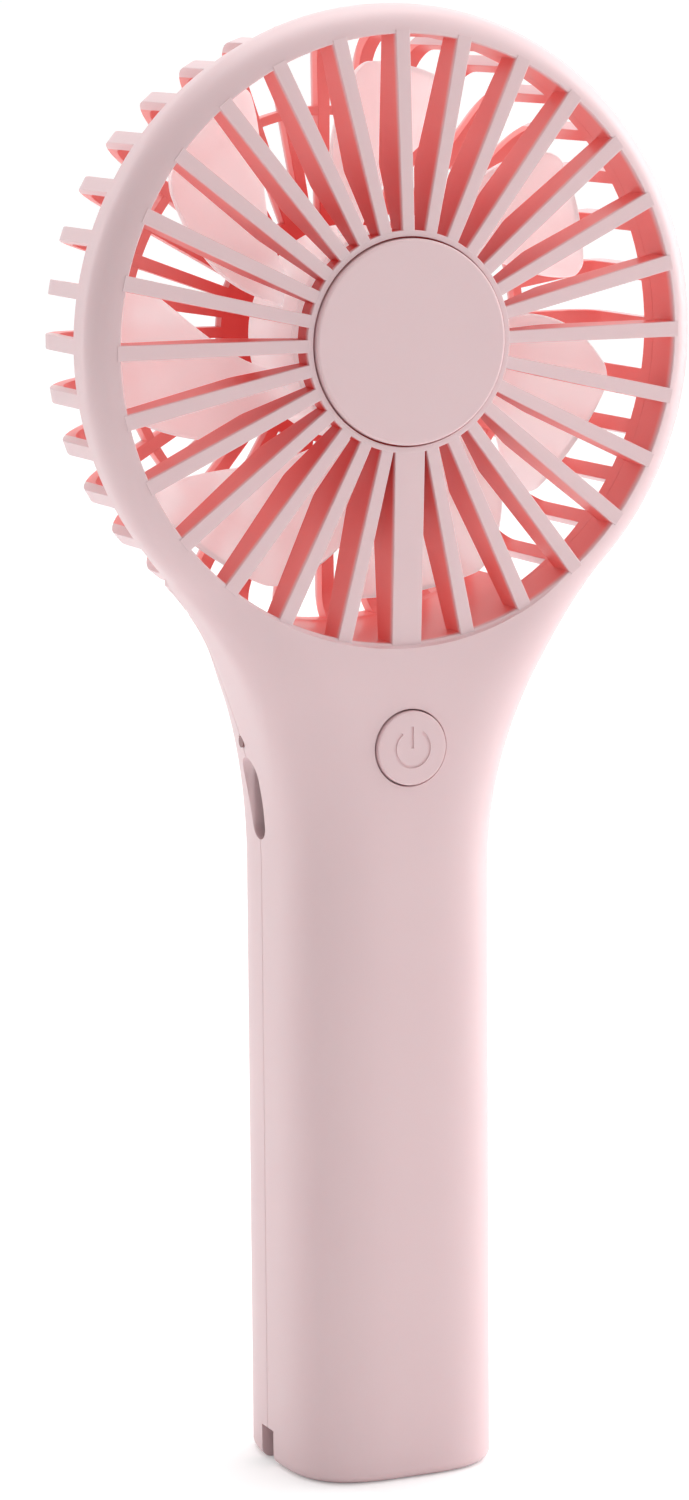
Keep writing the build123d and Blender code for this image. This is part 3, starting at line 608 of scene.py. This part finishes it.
def rib(name, width_hub, width_rim):
    start, end = HUB_RADIUS - 0.6, DUCT + 0.6
    knee_back = RIM_FRONT - HUB_DOME * 0.68 + RIB_DEEP_KNEE
    sections = []
    for radius in (start, 19, 22.5, KNEE - 1.2, KNEE - 0.3, KNEE + 0.3, KNEE + 1.2, 30, 35, 40, end):
        share = (radius - start) / (end - start)
        front = mixed(HUB_FRONT, RIM_FRONT, share)
        if radius < KNEE:
            back = mixed(HUB_FRONT + RIB_DEEP_HUB, knee_back, (radius - start) / (KNEE - start))
        else:
            back = mixed(knee_back, RIM_FRONT + RIB_DEEP_RIM, (radius - KNEE) / (end - KNEE))
        half = mixed(width_hub, width_rim, share) / 2
        sections.append([(radius, y, HEAD + t) for t, y in bar(half, front, back, RIB_EDGE)])
    return shade(lofted(name, sections))


finish_names = ("casing", "grille", "guard", "blades", "cap", "button", "steel")
made = {name: bpy.data.materials.new(name) for name in finish_names}
step = 360 / RIBS
thin_ribs = repeated(rib("thin ribs", RIB_HUB, RIB_RIM), RIBS - 1, -90 + step, step, made["grille"])
wide_rib = repeated(rib("wide rib", WIDE_RIB, WIDE_RIB), 1, -90, 0, made["grille"])
print("ribs:", len(thin_ribs.data.polygons), "faces")

# %% [markdown]
# ## Hub, cap and motor cup
# The ribs meet in a ring, and a flat cap closes it with a hairline gap. Behind the cap a cup holds the
# motor. All of them are round, so each is an outline turned about the axis.

# %% Hub and cap
CAP_GAP, CUP_RADIUS, CUP_WALL, CUP_FLOOR = 0.27, 12.25, 1.5, -1.9
hub = turned("hub", eased([(CUP_RADIUS, CAP_BACK), (CAP_RADIUS + CAP_GAP, CAP_BACK),
                           (CAP_RADIUS + CAP_GAP, HUB_FRONT), (HUB_RADIUS, HUB_FRONT),
                           (HUB_RADIUS, HUB_BACK), (CUP_RADIUS + CUP_WALL, HUB_BACK),
                           (CUP_RADIUS + CUP_WALL, CUP_FLOOR + CUP_WALL), (3.0, CUP_FLOOR + CUP_WALL),
                           (3.0, CUP_FLOOR), (CUP_RADIUS, CUP_FLOOR)], 0.14), (0, HEAD))
shade(hub)
cap_outline = [(0, CAP_FRONT), (CAP_RADIUS - 0.45, CAP_FRONT), (CAP_RADIUS - 0.2, CAP_FRONT + 0.06),
               (CAP_RADIUS - 0.06, CAP_FRONT + 0.2), (CAP_RADIUS, CAP_FRONT + 0.45),
               (CAP_RADIUS, CAP_BACK), (0, CAP_BACK)]
centre_cap = shade(turned("cap", cap_outline, (0, HEAD)))
print("hub and cap made")

# %% [markdown]
# ## The guard behind the blades
# Each fin is an L: it runs straight back from the joint and turns in across the back to the hub. It
# could be swept along a curve, but its width and its thickness both change, so it is lofted along the
# L section by section. The fins are copied around by the same pattern as the ribs.

# %% Fins
def fin():
    """An L-shaped fin at three o'clock: stations (outer point, inner point) in (radius, y)."""
    stations = [((FIN_RADIUS, RING_BACK - 0.4), (DUCT, RING_BACK - 0.4)), ((FIN_RADIUS, 2.0), (DUCT, 2.0))]
    for i in range(9):
        turn = math.pi / 2 * i / 8
        stations.append(((FIN_RADIUS - GUARD_CORNER * (1 - math.cos(turn)),
                          GUARD_BACK - GUARD_CORNER * (1 - math.sin(turn))),
                         (DUCT - INNER_CORNER * (1 - math.cos(turn)),
                          GUARD_BACK - FIN_DEPTH - INNER_CORNER * (1 - math.sin(turn)))))
    for radius in (35.0, 28.0, 21.0, REAR_HUB + 0.1):
        stations.append(((radius, GUARD_BACK), (radius, GUARD_BACK - FIN_DEPTH)))
    sections = []
    for (r0, y0), (r1, y1) in stations:
        middle, share = (r0 + r1) / 2, ((r0 + r1) / 2 - REAR_HUB) / (FIN_RADIUS - REAR_HUB)
        half, thick = mixed(FIN_NARROW, FIN_WIDE, share) / 2, math.hypot(r1 - r0, y1 - y0)
        section = []
        for across, depth in bar(half, 0, thick, RIB_EDGE):
            share = depth / thick
            section.append((mixed(r0, r1, share), mixed(y0, y1, share), HEAD + across))
        sections.append(section)
    return shade(lofted("fins", sections))


fins = repeated(fin(), FINS, 0, 360 / FINS, made["guard"])
ring_front, ring_back = GUARD_BACK - FIN_DEPTH + 0.05, GUARD_BACK - 0.05
ring_outline = eased([(MIDDLE_RING - MIDDLE_WIDE, ring_front), (MIDDLE_RING, ring_front),
                      (MIDDLE_RING, ring_back), (MIDDLE_RING - MIDDLE_WIDE, ring_back)], 0.16)
middle_ring = shade(turned("middle ring", ring_outline, (0, HEAD)))
plate_front, plate_back = GUARD_BACK - 1.6, ring_back
back_plate = shade(turned("back plate", [(0, plate_front), (REAR_HUB - 2.5, plate_front),
                                         (REAR_HUB - 2.5, ring_front),
                                         (REAR_HUB + 0.4, ring_front), (REAR_HUB + 0.4, plate_back - 0.3),
                                         (REAR_HUB + 0.3, plate_back - 0.08), (REAR_HUB + 0.1, plate_back),
                                         (0, plate_back)], (0, HEAD)))
wall_outline = [(DUCT, RING_BACK - 0.4), (FIN_RADIUS, RING_BACK - 0.4)]
for i in range(7):
    radius = FIN_RADIUS - (FIN_RADIUS - SOLID_REACH) * (i / 6) ** 2
    across = radius - (FIN_RADIUS - GUARD_CORNER)
    wall_outline.append((radius, GUARD_BACK - GUARD_CORNER + math.sqrt(GUARD_CORNER**2 - across**2) - 0.01))
for i in range(4):
    radius = mixed(SOLID_REACH, DUCT, i / 3)
    across = radius - (DUCT - GUARD_CORNER + 2)
    bend = math.sqrt(max(INNER_CORNER**2 - across**2, 0))
    wall_outline.append((radius, GUARD_BACK - FIN_DEPTH - INNER_CORNER + bend))
sector = (-90 - SOLID_ANGLE, -90 + SOLID_ANGLE)
closed_sector = shade(turned("closed sector", wall_outline, (0, HEAD), 36, sector))
print("fins:", len(fins.data.polygons), "faces")

# %% [markdown]
# ## The rotor
# Seven blades of frosted, see-through plastic stand on a hub that turns around the motor cup. A blade
# is a thin sheet, pitched 34 degrees at the hub and 23 at the tip. Its front edge is swept in a bow and
# its rear edge runs out from under it. It is lofted once and copied seven times.

# %% Blades and their hub
BLADES, BLADE_PHASE, BLADE_TIP, BLADE_THICK = 7, 26.0, 40.75, 1.2
PITCH_HUB, PITCH_TIP, BLADE_CORNER, BLADE_MIDDLE = 34.0, 23.5, 2.0, 1.2
ROTOR_RADIUS, ROTOR_WALL, ROTOR_FRONT, ROTOR_BACK = 16.2, 1.2, -10.5, 6.6
# a blade's edges seen from the front at three o'clock: (outwards, sideways) from the axis
LEADING = ((13.0, 8.6), (18.6, 11.8), (24.4, 13.7), (28.8, 14.0), (33.6, 12.9), (37.2, 11.6), (41.5, 9.4))
TRAILING = ((14.5, 4.5), (19.5, 3.0), (23.3, 0.4), (28.7, -4.3), (31.2, -6.8), (34.8, -9.3), (41.5, -11.8))


def edge_curve(points):
    """The sideways place of an edge as a smooth function of the radius."""
    points = np.array(points)
    return np.poly1d(np.polyfit(np.hypot(points[:, 0], points[:, 1]), points[:, 1], 4))


def blade():
    leading, trailing = edge_curve(LEADING), edge_curve(TRAILING)
    straight = np.linspace(ROTOR_RADIUS - 0.6, BLADE_TIP - BLADE_CORNER, 24)
    rounded = BLADE_TIP - BLADE_CORNER * (1 - np.sin(np.linspace(0, math.pi / 2, 9)[1:]))
    sections = []
    for radius in np.concatenate([straight, rounded]):
        over = max(radius - (BLADE_TIP - BLADE_CORNER), 0)
        inset = BLADE_CORNER - math.sqrt(max(BLADE_CORNER**2 - over**2, 0))
        low, high = trailing(radius) + inset, leading(radius) - inset
        centre, half = (low + high) / 2, (high - low) / 2
        outline = [(centre + half * t, BLADE_THICK / 2) for t in np.linspace(-0.97, 0.97, 17)]
        outline += [(high, BLADE_THICK * 0.2), (high, -BLADE_THICK * 0.2)]
        outline += [(centre + half * t, -BLADE_THICK / 2) for t in np.linspace(0.97, -0.97, 17)]
        outline += [(low, -BLADE_THICK * 0.2), (low, BLADE_THICK * 0.2)]
        section = []
        for side, thick in outline:
            out = math.sqrt(radius**2 - side**2)
            share = (out - ROTOR_RADIUS) / (BLADE_TIP - ROTOR_RADIUS)
            turn = math.radians(mixed(PITCH_HUB, PITCH_TIP, share))
            y = BLADE_MIDDLE - math.tan(turn) * side + thick / math.cos(turn)
            section.append((out, y, HEAD + side))
        sections.append(section)
    return shade(lofted("blades", sections), 50)


blades = repeated(blade(), BLADES, BLADE_PHASE, 360 / BLADES, made["blades"])
rotor_outline = [(ROTOR_RADIUS - ROTOR_WALL, ROTOR_FRONT), (ROTOR_RADIUS - 0.2, ROTOR_FRONT),
                 (ROTOR_RADIUS, ROTOR_FRONT + 0.2), (ROTOR_RADIUS, ROTOR_BACK - 1.0),
                 (ROTOR_RADIUS - 0.3, ROTOR_BACK - 0.3), (ROTOR_RADIUS - 1.0, ROTOR_BACK),
                 (0, ROTOR_BACK), (0, hub_high.y), (hub_high.x, hub_high.y),
                 (hub_high.x, hub_low.y), (hub_high.x + 1, hub_low.y),
                 (hub_high.x + 1, ROTOR_BACK - ROTOR_WALL),
                 (ROTOR_RADIUS - ROTOR_WALL, ROTOR_BACK - ROTOR_WALL)]
rotor_hub = shade(turned("rotor hub", rotor_outline, (0, HEAD)))
print("blades:", len(blades.data.polygons), "faces")

# %% [markdown]
# ## Button and screws
# The button is a low disc in a hairline gap, with the usual sign for on and off sunk into it: an open
# ring and a bar. The groove is cut with closed cutters, so it is a real groove. The screws hold the
# two halves from behind: one screw is turned and cross-cut, and nodes put a copy on each point.

# %% Button
SIGN_RADIUS, SIGN_GROOVE, SIGN_DEEP, SIGN_OPENING, FLANGE_FRONT = 2.8, 0.45, 0.25, 70.0, -14.45
button = turned("button", [(0, BUTTON_FACE), (BUTTON_RADIUS - 0.35, BUTTON_FACE),
                           (BUTTON_RADIUS - 0.12, BUTTON_FACE + 0.08), (BUTTON_RADIUS, BUTTON_FACE + 0.32),
                           (BUTTON_RADIUS, FLANGE_FRONT), (BUTTON_RADIUS + 1, FLANGE_FRONT),
                           (BUTTON_RADIUS + 1, FLANGE_FRONT + 1), (1.5, FLANGE_FRONT + 1),
                           (1.5, button_high.y), (0, button_high.y)], (0, BUTTON_Z), 128)
sign_near, sign_far = SIGN_RADIUS - SIGN_GROOVE / 2, SIGN_RADIUS + SIGN_GROOVE / 2
sign_top, sign_floor = BUTTON_FACE - 1, BUTTON_FACE + SIGN_DEEP
groove = eased([(sign_near, sign_top), (sign_far, sign_top), (sign_far, sign_floor),
                (sign_near, sign_floor)], 0.08)
sign_ring = turned("sign ring", groove, (0, BUTTON_Z), 72, (90 + SIGN_OPENING / 2, 450 - SIGN_OPENING / 2))
sign_bar = block("sign bar", (-SIGN_GROOVE / 2, SIGN_GROOVE / 2), (sign_top, sign_floor),
                 (BUTTON_Z, BUTTON_Z + SIGN_RADIUS + SIGN_GROOVE))
shade(cut(button, [sign_ring, sign_bar]))
print("button:", len(button.data.polygons), "faces")

# %% Screws on points
def scatter_tree():
    tree, given = new_group("Piece on each point", (
        ("Points", "Geometry"), ("Piece", "Object"), ("Finish", "Material")))
    piece = add(tree, "GeometryNodeObjectInfo", {"Object": given["Piece"]}).outputs["Geometry"]
    copies = add(tree, "GeometryNodeInstanceOnPoints",
                 {"Points": given["Points"], "Instance": piece}).outputs[0]
    return close_group(tree, copies, given["Finish"])


def screws_on(points, screw, finish):
    mesh = bpy.data.meshes.new("casing_screw_set")
    mesh.from_pydata([(x * MM, 0, z * MM) for x, z in points], [], [])
    obj = bpy.data.objects.new("casing_screw_set", mesh)
    link(obj)
    run_group(obj, "Screws", scatter_tree(), {"Piece": screw, "Finish": finish})
    bpy.data.objects.remove(screw)
    return obj


head_back = SCREW_SEAT + SCREW_TALL
screw = turned("screw", [(0, -4), (0.7, -4), (1.0, -3.4), (1.0, SCREW_SEAT), (SCREW_HEAD, SCREW_SEAT),
                         (SCREW_HEAD, SCREW_SEAT + 0.7), (SCREW_HEAD - 0.25, head_back - 0.3),
                         (SCREW_HEAD - 0.8, head_back), (0, head_back)], (0, 0), 48)
cross = [block("slot a", (-1.1, 1.1), (SCREW_SEAT + 0.6, 20), (-0.25, 0.25)),
         block("slot b", (-0.25, 0.25), (SCREW_SEAT + 0.6, 20), (-1.1, 1.1))]
casing_screw_set = screws_on(SCREWS, shade(cut(screw, cross)), made["steel"])
print("screws:", len(casing_screw_set.data.polygons), "faces")

# %% [markdown]
# ## Finishes
# Nearly everything outside is one plastic: ABS, injection moulded, dyed pale pink, with a satin
# texture from the tool. It looks nearly matt with a soft sheen, and light that has gone through
# it or bounced inside it comes back redder. That redder light is painted into the colour: the pale pink
# of the outside deepens to a painted salmon of bounce light with the depth inside the air passage, and to a
# painted red shade towards the hub.

# %% Colour and material helpers
CLOUD = 22                                   # size in millimetres of the patches of colour


def colour(code):
    """A colour given as an sRGB hex value, turned to linear."""
    parts = [int(code[i:i + 2], 16) / 255 for i in (1, 3, 5)]
    return tuple(c / 12.92 if c <= 0.04045 else ((c + 0.055) / 1.055) ** 2.4 for c in parts) + (1.0,)


def finish(name, material=None, **surface):
    """A material with one principled shader and its plain values set on the shader's sockets."""
    material = material or bpy.data.materials.new(name)
    material.name = name
    material.use_nodes = True
    tree = material.node_tree
    shader = tree.nodes["Principled BSDF"]
    for key, value in surface.items():
        shader.inputs[key.replace("_", " ")].default_value = value
    return material, tree, shader


def blend(tree, share, first, second):
    """Two colours mixed by a share."""
    return add(tree, "ShaderNodeMix", {0: share, 6: first, 7: second}, data_type="RGBA").outputs[2]


def mottle(tree, shader, base, spot, size_mm, bump_mm, rough=(0.4, 0.5)):
    """Slight unevenness of colour, sheen and surface, at a size in millimetres."""
    place = add(tree, "ShaderNodeTexCoord").outputs["Object"]
    grain = add(tree, "ShaderNodeTexNoise", {"Vector": place, "Scale": 1 / (size_mm * MM), "Detail": 3.0,
                                             "Roughness": 0.6}).outputs[0]
    cloud = add(tree, "ShaderNodeTexNoise", {"Vector": place, "Scale": 1 / (CLOUD * MM),
                                             "Detail": 2.0}).outputs[0]
    tone = blend(tree, cloud, colour(base), colour(spot))
    sheen = add(tree, "ShaderNodeMapRange", {0: cloud, 3: rough[0], 4: rough[1]}).outputs[0]
    tree.links.new(sheen, shader.inputs["Roughness"])
    relief = add(tree, "ShaderNodeBump", {"Height": grain, "Strength": 0.5,
                                          "Distance": bump_mm * MM}).outputs[0]
    tree.links.new(relief, shader.inputs["Normal"])
    tree.links.new(tone, shader.inputs["Base Color"])
    return place, tone


# %% Pink plastics
# The last two colours are painted light: the salmon of bounce light deep in the air passage, and the red of
# shade near the hub.
PINK, PINK_SPOT, BOUNCE_SALMON_PAINT, SHADE_RED_PAINT = "#EDD0D2", "#EACBCE", "#FB8883", "#E9413B"
PAINTED_RED_FROM, PAINTED_RED_TO = 32, 17                    # radius where the painted salmon starts to turn to painted red shade, and where it is all red


def paint_bounce_and_shade(tree, shader, place, tone, near, far, slope):
    """Paints bounce light and shade into the colour: from y = near to y = far the pink deepens to a painted
    salmon, which turns to a painted red shade towards the hub, for points inside the air passage.
    The values are millimetres; the slope follows a front that is not flat."""
    parts = add(tree, "ShaderNodeSeparateXYZ", {0: place}).outputs
    up = add(tree, "ShaderNodeMath", {0: parts["Z"], 1: HEAD * MM}, operation="SUBTRACT").outputs[0]
    flat = add(tree, "ShaderNodeCombineXYZ", {"X": parts["X"], "Y": up}).outputs[0]
    radius = add(tree, "ShaderNodeVectorMath", {0: flat}, operation="LENGTH").outputs["Value"]
    level = add(tree, "ShaderNodeMath", {0: radius, 1: -slope, 2: parts["Y"]},
                operation="MULTIPLY_ADD").outputs[0]
    depth = add(tree, "ShaderNodeMapRange", {0: level, 1: near * MM, 2: far * MM}).outputs[0]
    inside = add(tree, "ShaderNodeMapRange",
                 {0: radius, 1: (DUCT + 0.12) * MM, 2: (DUCT + 0.02) * MM}).outputs[0]
    share = add(tree, "ShaderNodeMath", {0: depth, 1: inside}, operation="MULTIPLY").outputs[0]
    hub = add(tree, "ShaderNodeMapRange", {0: radius, 1: PAINTED_RED_FROM * MM, 2: PAINTED_RED_TO * MM}).outputs[0]
    both = blend(tree, share, tone, blend(tree, hub, colour(BOUNCE_SALMON_PAINT), colour(SHADE_RED_PAINT)))
    tree.links.new(both, shader.inputs["Base Color"])


def pink_plastic(name, old, near=0.0, far=0.0, slope=0.0):
    material, tree, shader = finish(name, made[old], IOR=1.53, Subsurface_Weight=0.12,
                                    Subsurface_Scale=0.0012, Subsurface_Radius=(1.0, 0.35, 0.3),
                                    Coat_Weight=0.12, Coat_Roughness=0.22)
    place, tone = mottle(tree, shader, PINK, PINK_SPOT, 0.35, 0.004, (0.36, 0.46))
    # painted bounce light and shade, only where a depth range is given
    if near != far:
        paint_bounce_and_shade(tree, shader, place, tone, near, far, slope)
    return material


rib_slope = (RIM_FRONT - HUB_FRONT) / (DUCT - HUB_RADIUS)
rib_start = HUB_FRONT - rib_slope * HUB_RADIUS
# Casing, grille and guard get painted bounce light and shade inside the air passage; cap and button stay
# plain pink.
shell_plastic = pink_plastic("satin pink ABS", "casing", RIM_FRONT + 0.3, RIM_FRONT + 1.5)
grille_plastic = pink_plastic("satin pink ABS, grille", "grille", rib_start + 0.2, rib_start + 1.1, rib_slope)
guard_plastic = pink_plastic("satin pink ABS, guard", "guard", GUARD_BACK - 0.2, GUARD_BACK - 1.2)
cap_plastic = pink_plastic("satin pink ABS, cap", "cap")
button_plastic = pink_plastic("satin pink ABS, button", "button")
print("plastics:", [m.name for m in (shell_plastic, grille_plastic, guard_plastic, cap_plastic)])

# %% [markdown]
# ### Frosted blades
# The blades are translucent polypropylene: light passes through them scattered. Rough transmission
# gives the frosted look, and a faint painted glow, light the blades give off themselves, stands in for light
# caught between the faces of the sheet.

# %% Blades' plastic
# The emission is painted light: a faint glow of the blades' own, there in any light.
blade_plastic, tree, shader = finish("frosted pink polypropylene", made["blades"], IOR=1.49,
                                     Transmission_Weight=0.5, Emission_Strength=0.15, Coat_Weight=0.1,
                                     Coat_Roughness=0.25)
shader.inputs["Emission Color"].default_value = colour("#E6F0F2")
mottle(tree, shader, "#FFF8F8", "#FFF1F2", 0.5, 0.004, (0.3, 0.38))
print("blades are of", blade_plastic.name)

# %% [markdown]
# ### Metals, board and battery inside
# These pieces are hardly seen, but anyone who opens the model finds them, so each has its own finish.

# %% Other finishes
def plain(name, base, spot, size, bump, rough, **surface):
    material, tree, shader = finish(name, None, **surface)
    mottle(tree, shader, base, spot, size, bump, rough)
    return material


steel, tree, shader = finish("zinc-plated steel", made["steel"], Metallic=1.0)
mottle(tree, shader, "#C9CBCE", "#B9BCC1", 0.2, 0.002, (0.25, 0.38))
brass = plain("turned brass", "#C9A45C", "#BD9750", 0.15, 0.002, (0.25, 0.35), Metallic=1.0)
copper = plain("enamelled copper wire", "#B66A3C", "#A85C31", 0.3, 0.02, (0.3, 0.4), Metallic=1.0)
black_plastic = plain("black nylon", "#26272A", "#1E1F22", 0.3, 0.004, (0.45, 0.6), IOR=1.53)
carbon = plain("pressed carbon", "#2B2B2C", "#343435", 0.2, 0.01, (0.6, 0.8), IOR=1.6)
board_green = plain("glass-epoxy board", "#1E5A3A", "#23633F", 0.6, 0.004, (0.3, 0.4), IOR=1.55)
cell_wrap = plain("shrink-wrapped PVC", "#3A6C96", "#356690", 1.5, 0.01, (0.2, 0.3), IOR=1.53)
rubber = plain("black rubber strip", "#303134", "#28292C", 0.4, 0.05, (0.8, 0.95), IOR=1.5)
led_plastic = plain("clear epoxy over phosphor", "#F3E9C4", "#EFE3B8", 0.4, 0.002, (0.15, 0.25), IOR=1.5)
red_lead = plain("red PVC sleeve", "#B3262B", "#A92227", 0.5, 0.004, (0.35, 0.45), IOR=1.53)
black_lead = plain("black PVC sleeve", "#1D1D1F", "#242426", 0.5, 0.004, (0.35, 0.45), IOR=1.53)
light_plastic = plain("clear acrylic", "#C98C8E", "#C08486", 0.5, 0.002, (0.1, 0.2), IOR=1.49,
                      Transmission_Weight=0.5)
socket_steel = plain("nickel-plated steel", "#8E8A88", "#827D7B", 0.3, 0.002, (0.25, 0.35), Metallic=1.0)

CARRIED = {
    "strap_pin": steel, "light_guide": light_plastic, "motor_can": steel, "motor_end_cap": black_plastic,
    "motor_rear_bush": brass, "motor_front_bush": brass, "motor_magnets": carbon, "motor_terminals": brass,
    "motor_brushes": carbon, "motor_screws": steel, "circuit_board": board_green,
    "switch_body": black_plastic, "charging_socket": socket_steel, "socket_tongue": black_plastic,
    "status_leds": led_plastic, "board_components": black_plastic, "battery_cell": cell_wrap,
    "battery_tabs": steel, "battery_pads": rubber, "motor_lead_red": red_lead, "motor_lead_black": black_lead,
    "battery_lead_red": red_lead, "battery_lead_black": black_lead, "motor_shaft": steel,
    "commutator": copper, "rotor_core": steel, "rotor_windings": copper, "impeller_bush": brass,
    "switch_plunger": black_plastic,
}
for node, material in CARRIED.items():
    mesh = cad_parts[node].data
    mesh.materials.clear()
    mesh.materials.append(material)
print(len(CARRIED), "measured parts keep their meshes and get a finish")

# %% [markdown]
# ## Put the pieces on their bodies
# Each piece says which body it moves with, which measured part it stands for, and the finish it takes.

# %% Assembly
front_ribs = join("grille_ribs", [thin_ribs, wide_rib])
rear_rings = join("guard_rings", [middle_ring, back_plate, closed_sector])
PIECES = (
    (front_casing, "front_casing", "casing", "front_shell", "shell_plastic", shell_plastic),
    (front_ribs, "grille_ribs", "casing", "front_shell", "shell_plastic", grille_plastic),
    (hub, "grille_hub", "casing", "front_shell", "shell_plastic", grille_plastic),
    (rear_casing, "rear_casing", "casing", "rear_shell", "shell_plastic", shell_plastic),
    (fins, "guard_fins", "casing", "rear_shell", "shell_plastic", guard_plastic),
    (rear_rings, "guard_rings", "casing", "rear_shell", "shell_plastic", guard_plastic),
    (centre_cap, "centre_disc", "casing", "centre_cap", "cap_plastic", cap_plastic),
    (casing_screw_set, "casing_screw_set", "casing", "casing_screws", "steel", steel),
    (blades, "fan_blades", "rotor", "impeller", "impeller_plastic", blade_plastic),
    (rotor_hub, "rotor_hub", "rotor", "impeller", "impeller_plastic", blade_plastic),
    (button, "button_disc", "button", "power_button", "button_plastic", button_plastic),
)
for obj, name, body, node, slot, material in PIECES:
    obj.name = name
    obj.data.materials.clear()
    obj.data.materials.append(material)
    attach(obj, body)
    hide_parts(node)
print(len(PIECES), "pieces ride on", sorted({row[2] for row in PIECES}))

# %% [markdown]
# ## Studio
# A white floor, a white surround, and large soft lamps: the light comes mostly from above, behind and
# the right, and a tall strip at the left draws the pale band down the handle's flank. Floor and
# surround are lifted to plain white only for the camera; the pieces are lit without that lift.

# %% Camera
def aim(obj, place, target, roll=0.0):
    obj.location = place
    direction = Vector(target) - Vector(place)
    turn = direction.to_track_quat("-Z", "Y").to_matrix() @ Matrix.Rotation(roll, 3, "Z")
    obj.rotation_euler = turn.to_euler()


camera = bpy.data.objects.new("Camera", bpy.data.cameras.new("Camera"))
link(camera)
camera.data.lens, camera.data.sensor_width = 121.4, 36.0
camera.data.clip_end = 20
CAMERA_AT, CAMERA_TARGET = (-0.3149, -0.6931, 0.2357), (-0.00342, 0.0, 0.1109)
CAMERA_ROLL = math.radians(-0.47)
aim(camera, CAMERA_AT, CAMERA_TARGET, CAMERA_ROLL)
bpy.context.scene.camera = camera
print("camera at", CAMERA_AT)

# %% Floor
FLOOR_LIFT = 0.22                            # light of its own that the camera alone sees
floor_mesh = bpy.data.meshes.new("floor")
floor_mesh.from_pydata([(-30, -30, 0), (30, -30, 0), (30, 30, 0), (-30, 30, 0)], [], [(0, 1, 2, 3)])
floor = bpy.data.objects.new("floor", floor_mesh)
link(floor)
floor_paint, tree, shader = finish("white studio floor", None, Roughness=0.8)
shader.inputs["Base Color"].default_value = colour("#F6F6F6")
seen = add(tree, "ShaderNodeLightPath").outputs["Is Camera Ray"]
lift = add(tree, "ShaderNodeMath", {0: seen, 1: FLOOR_LIFT}, operation="MULTIPLY").outputs[0]
shader.inputs["Emission Color"].default_value = (1, 1, 1, 1)
tree.links.new(lift, shader.inputs["Emission Strength"])
floor_mesh.materials.append(floor_paint)
print("floor is", floor.name)

# %% Lamps and surround
BRIGHT_WAY = (0.72, 0.5, 0.48)               # the side that the surround is brightest on
WORLD_DARK, WORLD_BRIGHT = 0.04, 1.26


def lamp(name, place, size, power, tint="#FFFFFF", target=(0, 0, 0.12)):
    light = bpy.data.objects.new(name, bpy.data.lights.new(name, "AREA"))
    light.data.shape = "RECTANGLE"
    light.data.size, light.data.size_y = size
    light.data.energy = power
    light.data.color = colour(tint)[:3]
    link(light)
    aim(light, place, target)
    return light


lamp("top", (0.15, 0.25, 1.3), (1.0, 1.0), 6.0)
lamp("right", (0.85, -0.02, 0.3), (0.4, 0.9), 4.0)
lamp("left strip", (-0.5, 0.6, 0.25), (0.15, 0.9), 1.2)
world = bpy.data.worlds.new("white surround")
world.use_nodes = True
tree = world.node_tree
way = add(tree, "ShaderNodeTexCoord").outputs["Generated"]
facing = add(tree, "ShaderNodeVectorMath", {0: way, 1: BRIGHT_WAY},
             operation="DOT_PRODUCT").outputs["Value"]
glow = add(tree, "ShaderNodeMapRange",
           {0: facing, 1: -1.0, 2: 1.0, 3: WORLD_DARK, 4: WORLD_BRIGHT}).outputs[0]
seen = add(tree, "ShaderNodeLightPath").outputs["Is Camera Ray"]
strength = add(tree, "ShaderNodeMix", {0: seen, 2: glow, 3: 1.0}, data_type="FLOAT").outputs[0]
tree.links.new(strength, tree.nodes["Background"].inputs["Strength"])
tree.nodes["Background"].inputs["Color"].default_value = (1, 1, 1, 1)
bpy.context.scene.world = world
bpy.context.scene.view_settings.view_transform = "Standard"
